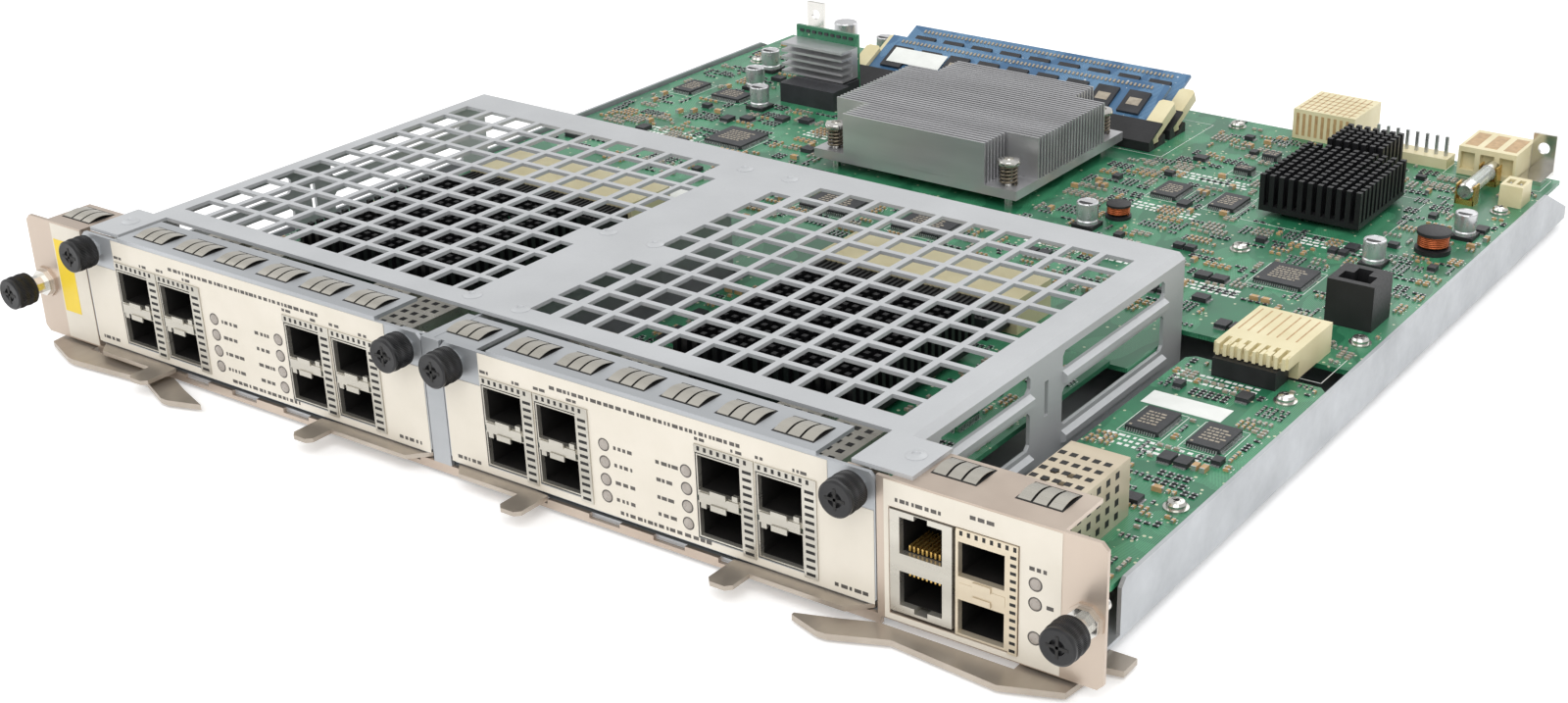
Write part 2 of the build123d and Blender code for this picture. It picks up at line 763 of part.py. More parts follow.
with BuildPart() as converter_heatsink:
    core_front = converter_sink_y[1] - converter_core
    sink_z = (23.2, 36.0)
    block(converter_x, (core_front, converter_sink_y[1]), sink_z)
    fin_pitch = (sink_z[1] - sink_z[0] - converter_fin) / (converter_fins - 1)
    with BuildSketch(side(converter_x[0])) as comb:
        with Locations(((converter_sink_y[0] + core_front) / 2, sum(sink_z) / 2)):
            with GridLocations(1, fin_pitch, 1, converter_fins):
                Rectangle(core_front - converter_sink_y[0], converter_fin)
    extrude(comb.sketch, amount=converter_x[1] - converter_x[0])
save(converter_heatsink, "converter_heatsink")

# Round parts on the board
cans = [(378.6, 298.6), (361.5, 257.2), (262.0, 236.0), (56.0, 324.0)]
cans += [(66.0, 300.0), (83.4, 280.0), (86.0, 368.0)]
can_radius = 4.0
can_top = 24.5
tall_can = (79.0, 348.0, 5.0, 35.0)
coils = [(374.0, 280.0, 6.0, 23.0), (267.0, 250.0, 4.5, 20.5)]
coil_waist = 1.1

with BuildPart() as electrolytic_capacitors:
    posts(cans, can_radius, (board_top, can_top), Mode.ADD, some_sides)
    posts([tall_can[:2]], tall_can[2], (board_top, tall_can[3]), Mode.ADD, some_sides)
save(electrolytic_capacitors, "electrolytic_capacitors")

with BuildPart() as inductors:
    for x, y, radius, top in coils:
        flange = (top - board_top) / 5
        posts([(x, y)], radius, (board_top, board_top + flange), Mode.ADD, some_sides)
        waist = (board_top + flange, top - flange)
        posts([(x, y)], radius - coil_waist, waist, Mode.ADD, some_sides)
        posts([(x, y)], radius, (top - flange, top), Mode.ADD, some_sides)
save(inductors, "inductors")

# Connectors along the back edge
backplane_x = (board_right - 105.9, board_right - 80.0)
backplane_y = (365.5, connector_back)
backplane_z = (board_top, 27.0)
backplane_slot = (18.0, 23.8)
power_x = (board_right - 36.0, board_right - 13.5)
power_y = (361.0, 383.0)
power_z = (board_top, 26.0)
power_cells = 3
header_strip_x = (board_right - 72.5, board_right - 40.5)
header_strip_y = (362.0, 371.0)
pin_pitch = 3.96
pin_count = 8
pin_side_length = 1.1

with BuildPart() as backplane_connector:
    block(backplane_x, backplane_y, backplane_z)
    mouth_x = (backplane_x[0] + 2.5, backplane_x[1] - 2.5)
    block(mouth_x, (board_back + 4.0, connector_back), backplane_slot, Mode.SUBTRACT)
save(backplane_connector, "backplane_connector")

with BuildPart() as power_connector:
    block(power_x, power_y, power_z)
    cell = (power_x[1] - power_x[0]) / power_cells
    cell_spots = [(power_x[0] + (i + 0.5) * cell, power_y[0]) for i in range(power_cells)]
    blocks(cell_spots, (cell - 2.0, 6.0), (board_top + 2.0, power_z[1] - 2.0), Mode.SUBTRACT)
save(power_connector, "power_connector")

with BuildPart() as power_header:
    block(header_strip_x, header_strip_y, (board_top, 19.0))
    middle = (sum(header_strip_x) / 2, sum(header_strip_y) / 2)
    first_pin = middle[0] - pin_pitch * (pin_count - 1) / 2
    pins = [(first_pin + i * pin_pitch, middle[1]) for i in range(pin_count)]
    blocks(pins, (pin_side_length, pin_side_length), (19.0, 26.5))
save(power_header, "power_header")

with BuildPart() as two_way_header:
    block((board_right - 11.0, board_right - 2.5), (336.5, 347.0), (board_top, 23.0))
    cells = [(board_right - 8.6, 341.7), (board_right - 4.8, 341.7)]
    blocks(cells, (2.4, 5.0), (19.0, 23.0), Mode.SUBTRACT)
save(two_way_header, "two_way_header")

# Glass fuse in its two clips
fuse_x = board_right - 21.5
fuse_z = 20.2
fuse_radius = 3.1
fuse_y = (329.0, 359.0)
clip_width = 6.0

with BuildPart() as fuse:
    rods([(fuse_x, fuse_z)], fuse_radius, fuse_y, Mode.ADD, some_sides)
    clips = [(fuse_x, fuse_y[0] + clip_width / 2), (fuse_x, fuse_y[1] - clip_width / 2)]
    blocks(clips, (2 * fuse_radius + 1.2, clip_width - 1.0), (board_top, fuse_z))
save(fuse, "fuse")

# Guide brackets at the back corners, each with a round guide hole
bracket_width = 9.0
bracket_foot = (364.0, 379.5)
bracket_metal = 1.6
bracket_top = 30.5
guide_height = 25.0
guide_radius = 2.25

with BuildPart() as guide_brackets:
    for x in bracket_x:
        across = (x - bracket_width / 2, x + bracket_width / 2)
        block(across, bracket_foot, (board_top, board_top + bracket_metal))
        window(
            across,
            (board_top, bracket_top),
            (bracket_foot[1] - bracket_metal, bracket_foot[1]),
            Mode.ADD,
        )
    guide_spots = [(x, guide_height) for x in bracket_x]
    guide_span = (bracket_foot[1] - bracket_metal, bracket_foot[1])
    rods(guide_spots, guide_radius, guide_span, Mode.SUBTRACT)
save(guide_brackets, "guide_brackets")

# Keyed socket: a black well with a T-shaped mouth
socket_x = (board_right - 21.5, board_right - 5.5)
socket_top = 30.4
socket_box = (socket_x, (203.0, 218.5), (board_top, socket_top))
socket_well = ((socket_x[0] + 2.5, socket_x[1] - 2.5), (205.5, 211.5), (19.0, socket_top))
socket_key = ((socket_x[0] + 5.5, socket_x[1] - 5.5), (211.5, 216.0), (19.0, socket_top))

with BuildPart() as keyed_socket:
    block(*socket_box)
    block(*socket_well, Mode.SUBTRACT)
    block(*socket_key, Mode.SUBTRACT)
save(keyed_socket, "keyed_socket")

# Port modules: faceplate, board, cages, heatsink and plug
flange_x = (18.0, module_width - 18.0)
flange_depth = 17.0
foot_tabs = [(1.5, 24.0), (module_width - 24.0, module_width - 1.5)]
foot_tab_depth = 13.0
module_pivots = [6.0, module_width - 6.0]
module_pivot_y = 5.0
module_arms = [27.5, 35.7]
module_lever_z = (tray_top + fit_gap, module_bottom - fit_gap)
module_lamp_x = [59.5, module_width - 61.0]
module_lamps = [24.3, 19.0, 13.6, 8.4]
face_boss = 3.2
face_boss_height = 1.8
module_board_x = (10.0, module_width - 6.0)
module_chips = [(75.0, 82.0, 30.0, 30.0), (124.0, 74.0, 12.0, 12.0), (26.0, 74.0, 12.0, 12.0)]
module_chip_height = 2.4
module_sink_x = (43.0, 107.0)
module_sink_y = (50.0, 114.0)
module_sink_base = 3.0
module_sink_top = 35.0
module_fins = 9
module_fin = 2.4
plug_x = (32.0, 104.0)
plug_y = (126.0, 140.0)
plug_top = 25.0
tongue_z = (19.6, 22.6)
tongue_back = 150.0
dock_gap = 1.0
dock_margin = 2.0
dock_back = 162.0
dock_top = 27.0
window_gap = 0.4

for left, name in zip(module_lefts, module_names):
    columns = [(left + x, left + x + port_width) for x in port_columns]
    cage_low = lower_port[0] - cage_wall
    cage_high = upper_port[1] + cage_wall

    with BuildPart() as faceplate:
        module_face = (left, left + module_width)
        window(module_face, (module_bottom, panel_height), (0, sheet), Mode.ADD, ear_corner)
        middle = (left + ear_corner, left + module_width - ear_corner)
        window(middle, (module_bottom, panel_height), (0, sheet), Mode.ADD)
        flange = (left + flange_x[0], left + flange_x[1])
        window(flange, (panel_height - sheet, module_top), (0, sheet), Mode.ADD)
        block(flange, (0, flange_depth), (module_top - sheet, module_top))
        for low, high in columns:
            hole_x = (low - cage_wall - window_gap, high + cage_wall + window_gap)
            hole_z = (cage_low - window_gap, cage_high + window_gap)
            window(hole_x, hole_z, (0, sheet))
        lamp_spots = [(left + x, z) for x in module_lamp_x for z in module_lamps]
        rods(lamp_spots, lamp_radius, (0, sheet), Mode.SUBTRACT, lamp_sides)
        for low, high in foot_tabs:
            tab = (left + low, left + high)
            block(tab, (0, foot_tab_depth), (module_bottom, module_bottom + sheet))
        pivot_spots = [(left + x, module_pivot_y) for x in module_pivots]
        pin_length = module_bottom - module_lever_z[0]
        turned(pivot_spots, pivot_radius, level(module_lever_z[0]), pin_length)
        screw_spots = [(left + x, module_screw_z) for x in module_screw_x]
        rods(screw_spots, face_boss, (-face_boss_height, 0), Mode.ADD, few_sides)
        rods(screw_spots, nut_radius, (-face_boss_height, sheet), Mode.SUBTRACT, few_sides)
    save(faceplate, f"{name}_module_faceplate")

    with BuildPart() as module_board:
        board_x = (left + module_board_x[0], left + module_board_x[1])
        block(board_x, (sheet, module_board_back), (module_board_z, module_board_top))
        for x, y, width, depth in module_chips:
            chip_x = (left + x - width / 2, left + x + width / 2)
            chip_z = (module_board_top, module_board_top + module_chip_height)
            block(chip_x, (y - depth / 2, y + depth / 2), chip_z)
    save(module_board, f"{name}_module_board")

    with BuildPart() as cages:
        for low, high in columns:
            for bottom, top in (lower_port, upper_port):
                cage_x = (low - cage_wall, high + cage_wall)
                if bottom < module_board_z:
                    cage_z = (bottom - cage_wall, module_board_z)
                    hollow = (bottom, min(top, module_board_z - cage_wall))
                else:
                    cage_z = (module_board_top, top + cage_wall)
                    hollow = (bottom, top)
                window(cage_x, cage_z, (0, cage_depth), Mode.ADD)
                window((low, high), hollow, (0, cage_depth - cage_wall))
    save(cages, f"{name}_module_sfp_cages")

    with BuildPart() as module_heatsink:
        sink_low = module_board_top + module_chip_height
        sink_span = (left + module_sink_x[0], left + module_sink_x[1])
        base = (sink_low, sink_low + module_sink_base)
        finned(sink_span, module_sink_y, module_fins, base, module_sink_top, module_fin)
    save(module_heatsink, f"{name}_module_heatsink")

    with BuildPart() as plug:
        plug_span = (left + plug_x[0], left + plug_x[1])
        block(plug_span, plug_y, (module_board_top, plug_top))
        block(plug_span, (plug_y[1], tongue_back), tongue_z)
    save(plug, f"{name}_module_plug")

with BuildPart() as module_receptacles:
    for left in module_lefts:
        plug_span = (left + plug_x[0], left + plug_x[1])
        dock_x = (plug_span[0] - dock_margin, plug_span[1] + dock_margin)
        block(dock_x, (plug_y[1] + dock_gap, dock_back), (board_top, dock_top))
        mouth_x = (plug_span[0] - fit_gap, plug_span[1] + fit_gap)
        mouth_z = (tongue_z[0] - fit_gap, tongue_z[1] + fit_gap)
        block(mouth_x, (plug_y[1] + dock_gap, tongue_back + dock_gap), mouth_z, Mode.SUBTRACT)
save(module_receptacles, "module_receptacles")

# Ejector levers of the frame, flat under the panel, and of each port module
lever_tip = (-72.0, -17.0)
lever_nose = (-59.0, -21.0)
lever_elbow = (-9.0, -17.0)
lever_outline = [
    lever_tip,
    lever_nose,
    (-42.0, -14.0),
    lever_elbow,
    (7.0, -11.0),
    (9.0, 4.0),
    (14.5, 5.0),
    (14.5, 12.0),
    (4.0, 12.0),
    (-9.0, 3.0),
    (-9.0, -8.6),
    (-49.5, -8.6),
    (-59.0, -12.5),
]
lever_corner = 1.6
heel_half = 4.5
heel_front = 3.6
shoulder = 1.0
tongue_half = 4.0
tongue_reach = 18.0
arm_front = 9.5
arm_back = 5.6
nose_back = 7.0


def lever_plate(points, cut, pivot, z, turn):
    """A flat lever of the given outline round its pivot, with some of its corners cut back; turn
    is 1, or -1 for its mirror."""
    spots = [(pivot[0] + turn * x, pivot[1] + y) for x, y in points]
    ends = [spots[points.index(corner)] for corner in cut]
    with BuildSketch(level(z[0])) as shape:
        with BuildLine():
            Polyline(*spots, close=True)
        make_face()
        chamfer([shape.vertices().sort_by_distance(end)[0] for end in ends], lever_corner)
        with Locations(pivot):
            RegularPolygon(
                pivot_radius + run_gap / 2, some_sides, major_radius=False, mode=Mode.SUBTRACT
            )
    extrude(shape.sketch, amount=z[1] - z[0])


main_levers = [
    ("right", [lever_tip, lever_nose], pivots[0], 1),
    ("left", [lever_nose, lever_elbow], pivots[1], -1),
]
for name, cut, pivot, turn in main_levers:
    with BuildPart() as main_lever:
        lever_plate(lever_outline, cut, pivot, (lever_bottom, lever_top), turn)
    save(main_lever, f"main_{name}_lever")

for left, name in zip(module_lefts, module_names):
    for pivot_x, arm, turn, hand in zip(module_pivots, module_arms, (1, -1), module_names):
        tongue = [(arm - tongue_half, -tongue_reach), (arm + tongue_half, -tongue_reach)]
        arm_outline = [
            (-heel_half, -heel_front),
            (shoulder, -arm_front),
            (arm - tongue_half, -arm_front),
            *tongue,
            (arm + tongue_half, -arm_back),
            (heel_half + 2.0, -3.0),
            (heel_half, nose_back),
            (-heel_half, nose_back),
        ]
        with BuildPart() as module_lever:
            pivot = (left + pivot_x, module_pivot_y)
            lever_plate(arm_outline, tongue, pivot, module_lever_z, turn)
        save(module_lever, f"{name}_module_{hand}_lever")

# Captive thumbscrews and the ferrules that hold the two outer ones
knob_radius = 5.35
knob_length = 7.6
neck_back = 2.4
thread_back = 10.0
module_thread_back = 8.0
ferrule_front = knob_length - knob_reach + run_gap
ferrule_back = 2.0
collar_radius = 4.4
collar_length = 1.4


def thumbscrew(x, z, knob_front, shaft, shaft_span, sides=0):
    """A knob with flats in place of its knurls, and a threaded shaft behind it."""
    knob_back = knob_front + knob_length
    turned([(x, z)], knob_radius, upright(knob_back), knob_length)
    rods([(x, z)], shaft, shaft_span, Mode.ADD, sides)


with BuildPart() as screw_ferrules:
    ferrule_span = (ferrule_front, ferrule_back)
    collar_span = (-boss_height - collar_length, -boss_height)
    rods(ear_places, ferrule_radius, ferrule_span, Mode.ADD, some_sides)
    rods(ear_places, collar_radius, collar_span, Mode.ADD, some_sides)
    rods(ear_places, screw_neck + run_gap, ferrule_span, Mode.SUBTRACT, few_sides)
save(screw_ferrules, "screw_ferrules")

for x, name in zip(main_screw_x, module_names):
    with BuildPart() as main_thumbscrew:
        thumbscrew(x, main_screw_z, -knob_reach, screw_thread, (neck_back, thread_back))
        neck = (-knob_reach + knob_length, neck_back)
        rods([(x, main_screw_z)], screw_neck, neck, Mode.ADD, some_sides)
    save(main_thumbscrew, f"main_{name}_thumbscrew")

module_knob_front = -face_boss_height - run_gap - knob_length
for left, name in zip(module_lefts, module_names):
    for x, hand in zip(module_screw_x, module_names):
        with BuildPart() as module_thumbscrew:
            shaft_span = (module_knob_front + knob_length, module_thread_back)
            thread = (module_thread, shaft_span, some_sides)
            thumbscrew(left + x, module_screw_z, module_knob_front, *thread)
        save(module_thumbscrew, f"{name}_module_{hand}_thumbscrew")
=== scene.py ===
"""Looks of the interface module: finishes, small parts, print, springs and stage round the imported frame."""

import math
import bpy
import numpy as np
from mathutils import Matrix, Vector


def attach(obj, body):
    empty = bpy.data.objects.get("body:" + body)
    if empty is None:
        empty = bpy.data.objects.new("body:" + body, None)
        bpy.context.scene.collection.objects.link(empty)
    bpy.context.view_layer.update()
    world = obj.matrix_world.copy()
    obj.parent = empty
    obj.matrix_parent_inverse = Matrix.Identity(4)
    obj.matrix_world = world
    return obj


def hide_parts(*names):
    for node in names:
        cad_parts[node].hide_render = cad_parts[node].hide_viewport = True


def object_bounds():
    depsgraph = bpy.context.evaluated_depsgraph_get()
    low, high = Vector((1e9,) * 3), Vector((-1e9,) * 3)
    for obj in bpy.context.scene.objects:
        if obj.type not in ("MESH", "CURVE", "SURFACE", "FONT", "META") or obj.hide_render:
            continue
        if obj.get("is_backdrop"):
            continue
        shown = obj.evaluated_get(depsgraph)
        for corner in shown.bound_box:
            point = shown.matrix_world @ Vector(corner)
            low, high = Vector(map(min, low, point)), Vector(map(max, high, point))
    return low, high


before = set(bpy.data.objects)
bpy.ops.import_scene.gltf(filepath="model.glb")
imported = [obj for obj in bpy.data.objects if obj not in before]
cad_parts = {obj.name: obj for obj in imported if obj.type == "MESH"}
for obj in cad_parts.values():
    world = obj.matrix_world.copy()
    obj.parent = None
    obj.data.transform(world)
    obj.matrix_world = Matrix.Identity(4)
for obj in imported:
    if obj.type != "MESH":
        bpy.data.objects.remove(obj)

bl_info = {
    "name": "Interface module looks",
    "version": (1, 0, 0),
    "blender": (4, 5, 0),
    "location": "View3D > Sidebar > Module",
    "description": "Dresses an interface module with finishes, parts and a stage",
    "category": "Object",
}

MM = 0.001
SHARP_ANGLE = math.radians(35)
PANEL_WIDTH = 399.2
ORIGIN_DEPTH = 188.85
FLOOR_DROP = 3.3
CAD_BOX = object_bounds()
MODULES = {"left": 27.5, "right": 184.0}
MODULE_WIDTH = 149.0
PORT_COLUMNS = (15.5, 35.5, 92.0, 112.0)
PORT_WIDTH = 14.0
BOARD_TOP = 15.0
MODULE_BOARD_TOP = 18.2
COVER_TOP = 42.0
PANEL_TOP = 40.8


def place(points):
    """Points in millimetres from the panel's lower left front corner, as metres in the row's frame."""
    points = np.asarray(points, float)
    return (points - (PANEL_WIDTH / 2, ORIGIN_DEPTH, -FLOOR_DROP)) * MM


def srgb(red, green, blue):
    """A colour given in screen values from 0 to 255, as linear values."""
    shares = np.array([red, green, blue]) / 255
    linear = np.where(shares <= 0.04045, shares / 12.92, ((shares + 0.055) / 1.055) ** 2.4)
    return (*linear.tolist(), 1.0)


def add_piece(name, arrays, finish, body, slot=None, replaced=(), smooth=False):
    """An object at the origin from points in panel millimetres and a list or array of faces, with its
    finish and the body that it rides on."""
    points, faces = arrays
    mesh = bpy.data.meshes.new(name)
    mesh.from_pydata(place(points).tolist(), [], [list(map(int, face)) for face in faces])
    mesh.validate()
    if smooth:
        mesh.polygons.foreach_set("use_smooth", [True] * len(mesh.polygons))
    mesh.materials.append(FINISHES[finish])
    piece = bpy.data.objects.new(name, mesh)
    bpy.context.scene.collection.objects.link(piece)
    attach(piece, body)
    if replaced:
        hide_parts(*replaced)
    return piece


BOX_CORNERS = np.array([[x, y, z] for z in (0, 1) for y in (0, 1) for x in (0, 1)], float)
BOX_FACES = np.array([[0, 2, 3, 1], [4, 5, 7, 6], [0, 1, 5, 4], [2, 6, 7, 3], [0, 4, 6, 2], [1, 3, 7, 5]])


def box_arrays(boxes):
    """Corners and faces of many boxes, each row being low x, y, z and high x, y, z: every corner is
    low plus the unit cube's corner times the size."""
    boxes = np.asarray(boxes, float).reshape(-1, 6)
    low = boxes[:, None, :3]
    size = boxes[:, None, 3:] - low
    points = (low + BOX_CORNERS[None] * size).reshape(-1, 3)
    faces = (BOX_FACES[None] + 8 * np.arange(len(boxes))[:, None, None]).reshape(-1, 4)
    return points, faces


def add_boxes(name, boxes, finish, body, slot=None, replaced=()):
    """One object of many boxes in panel millimetres."""
    add_piece(name, box_arrays(boxes), finish, body, slot, replaced)


def centred(x, y, z_low, width, depth, height):
    """Rows of box limits from centres on a plane, a base height and three sizes, as whole arrays."""
    x, y, z_low, width, depth, height = np.broadcast_arrays(x, y, z_low, width, depth, height)
    low = [x - width / 2, y - depth / 2, z_low]
    high = [x + width / 2, y + depth / 2, z_low + height]
    return np.stack(low + high, -1).reshape(-1, 6)


def ring_quads(rows, around):
    """The faces between rows of rings that have the same number of points."""
    row, column = np.meshgrid(np.arange(rows - 1), np.arange(around), indexing="ij")
    low, high, after = row * around, (row + 1) * around, (column + 1) % around
    return np.stack([low + column, low + after, high + after, high + column], -1).reshape(-1, 4)


def copies(rings, quads, caps, centres):
    """The same rings, faces and end caps at every centre, as all points and all faces."""
    points, faces = rings.reshape(-1, 3), []
    for index in range(len(centres)):
        start = index * len(points)
        faces += (quads + start).tolist() + [(cap + start).tolist() for cap in caps]
    return np.concatenate([points + np.asarray(centre, float) for centre in centres]), faces


def lathe_arrays(profile, centres, axis, around, ridge):
    """A profile of (radius, height) rows turned round an axis at each centre: the point at angle t is
    radius times (cos t, sin t) across the axis and height along it; ridge(t, height) scales the radius."""
    profile = np.asarray(profile, float)
    turn = np.linspace(0, 2 * math.pi, around, endpoint=False)
    radius = np.repeat(profile[:, :1], around, 1)
    height = np.repeat(profile[:, 1:], around, 1)
    if ridge is not None:
        radius = radius * ridge(turn[None], height)
    across, up = radius * np.cos(turn), radius * np.sin(turn)
    quads = ring_quads(len(profile), around)
    caps = [np.arange(around)[::-1], (len(profile) - 1) * around + np.arange(around)]
    if axis == "Z":
        return copies(np.stack([across, up, height], -1), quads, caps, centres)
    caps = [cap[::-1] for cap in caps]
    return copies(np.stack([across, height, up], -1), quads[:, ::-1], caps, centres)


def add_lathe(name, profile, centres, axis, around, finish, body, slot=None, replaced=(), ridge=None):
    """One object of the same turned shape at several centres, smooth round and sharp at its steps."""
    arrays = lathe_arrays(profile, centres, axis, around, ridge)
    piece = add_piece(name, arrays, finish, body, slot, replaced, smooth=True)
    piece.data.set_sharp_from_angle(angle=SHARP_ANGLE)


def helix_arrays(centres, coil, wire, low, high, turns, steps=18, around=6):
    """A wound wire: its centre line is coil times (cos a, sin a) at a height that grows with a, and a
    circle of the wire's radius is carried along it, across the line's direction."""
    angle = np.linspace(0, 2 * math.pi * turns, int(steps * turns) + 1)
    line = np.stack([coil * np.cos(angle), coil * np.sin(angle), np.linspace(low, high, len(angle))], -1)
    out = np.stack([np.cos(angle), np.sin(angle), 0 * angle], -1)
    turn = np.linspace(0, 2 * math.pi, around, endpoint=False)
    sideways = np.cos(turn)[None, :, None] * out[:, None]
    rings = line[:, None] + wire * (sideways + np.sin(turn)[None, :, None] * np.array([0, 0, 1.0]))
    quads = np.roll(ring_quads(len(line), around), -1, axis=1)
    caps = [np.arange(around), ((len(line) - 1) * around + np.arange(around))[::-1]]
    return copies(rings, quads, caps, centres)


def new_material(name):
    """A material, its node tree and its shader node."""
    material = bpy.data.materials.new(name)
    material.use_nodes = True
    tree = material.node_tree
    return material, tree, next(node for node in tree.nodes if node.type == "BSDF_PRINCIPLED")


def feed(tree, node, inputs):
    """Links each named input of a node to a socket, or gives it a value."""
    for key, value in inputs.items():
        if isinstance(value, bpy.types.NodeSocket):
            tree.links.new(value, node.inputs[key])
        else:
            node.inputs[key].default_value = value


def add_node(tree, kind, inputs, output=0, **settings):
    """One output of a new node with its settings and inputs."""
    node = tree.nodes.new(f"ShaderNode{kind}")
    for name, value in settings.items():
        setattr(node, name, value)
    feed(tree, node, inputs)
    return node.outputs[output]


def mapped(tree, stretch=(1, 1, 1), turn=0.0):
    """Object coordinates, stretched and turned about Z."""
    source = add_node(tree, "TexCoord", {}, "Object")
    return add_node(tree, "Mapping", {"Scale": stretch, "Rotation": (0, 0, turn), "Vector": source})


def noise(tree, vector, scale, detail=4.0):
    """A noise pattern over the mapped surface."""
    return add_node(tree, "TexNoise", {"Scale": scale, "Detail": detail, "Vector": vector}, "Fac")


RAMP_RANGE = (0.3, 0.7)


def ramp(tree, factor, *colours):
    """A colour between two, picked by the factor."""
    node = tree.nodes.new("ShaderNodeValToRGB")
    for element, position, colour in zip(node.color_ramp.elements, RAMP_RANGE, colours):
        element.position, element.color = position, colour
    tree.links.new(factor, node.inputs["Fac"])
    return node.outputs["Color"]


def spread(tree, factor, low, high):
    """A number between two, picked by the factor."""
    start, end = RAMP_RANGE
    inputs = {"From Min": start, "From Max": end, "To Min": low, "To Max": high, "Value": factor}
    return add_node(tree, "MapRange", inputs, "Result")


def surface(name, low, high, scale, rough, metallic, bump, stretch=(1, 1, 1), fine=4.0, coat=0.0):
    """A finish whose colour, gloss and height follow one noise pattern, with a finer one for its grain."""
    material, tree, shader = new_material(name)
    vector = mapped(tree, stretch)
    cloud = noise(tree, vector, scale)
    grain = noise(tree, vector, scale * fine, 2.0)
    inputs = {
        "Base Color": ramp(tree, cloud, low, high),
        "Roughness": spread(tree, grain, rough - 0.05, rough + 0.05),
        "Metallic": metallic,
        "Coat Weight": coat,
        "Normal": add_node(tree, "Bump", {"Strength": bump, "Distance": 0.0001, "Height": grain}),
    }
    feed(tree, shader, inputs)
    return material


def mixed(tree, factor, first, second):
    """One colour over another, by a factor."""
    return add_node(tree, "Mix", {"Factor": factor, 6: first, 7: second}, 2, data_type="RGBA")


def step(tree, value, edge, above=True):
    """One where a value is above (or below) an edge, else nothing."""
    return add_node(tree, "Math", {0: value, 1: edge}, operation="GREATER_THAN" if above else "LESS_THAN")


def product(tree, first, second):
    """Two numbers multiplied."""
    return add_node(tree, "Math", {0: first, 1: second}, operation="MULTIPLY")


TRACKS = ((0.0, 520.0, 0.54), (math.pi / 2, 480.0, 0.56), (math.pi / 4, 450.0, 0.60))


def circuit(name, base, dark, trace, pad, pad_share):
    """Solder resist over copper: bundles of parallel tracks, drawn by a wave inside blocks of a noise
    pattern, in two directions, and rows of small round pads from a cell pattern."""
    material, tree, shader = new_material(name)
    plain = mapped(tree)
    cloud = noise(tree, plain, 60.0)
    colour = ramp(tree, cloud, dark, base)
    for turn, scale, gate in TRACKS:
        vector = mapped(tree, (1, 1, 1), turn)
        wave = add_node(tree, "TexWave", {"Scale": scale, "Distortion": 0.0, "Vector": vector}, "Fac")
        area = noise(tree, mapped(tree, (1, 0.5, 1), turn), 70.0, 1.0)
        tracks = product(tree, step(tree, wave, 0.62), step(tree, area, gate))
        colour = mixed(tree, tracks, colour, trace)
    cells = {"Scale": 330.0, "Randomness": 0.75, "Vector": plain}
    round_dots = step(tree, add_node(tree, "TexVoronoi", cells, "Distance"), 0.17, False)
    dots = product(tree, round_dots, step(tree, noise(tree, plain, 110.0, 1.0), pad_share))
    inputs = {
        "Base Color": mixed(tree, dots, colour, pad),
        "Roughness": spread(tree, cloud, 0.28, 0.4),
        "Coat Weight": 0.15,
    }
    feed(tree, shader, inputs)
    return material


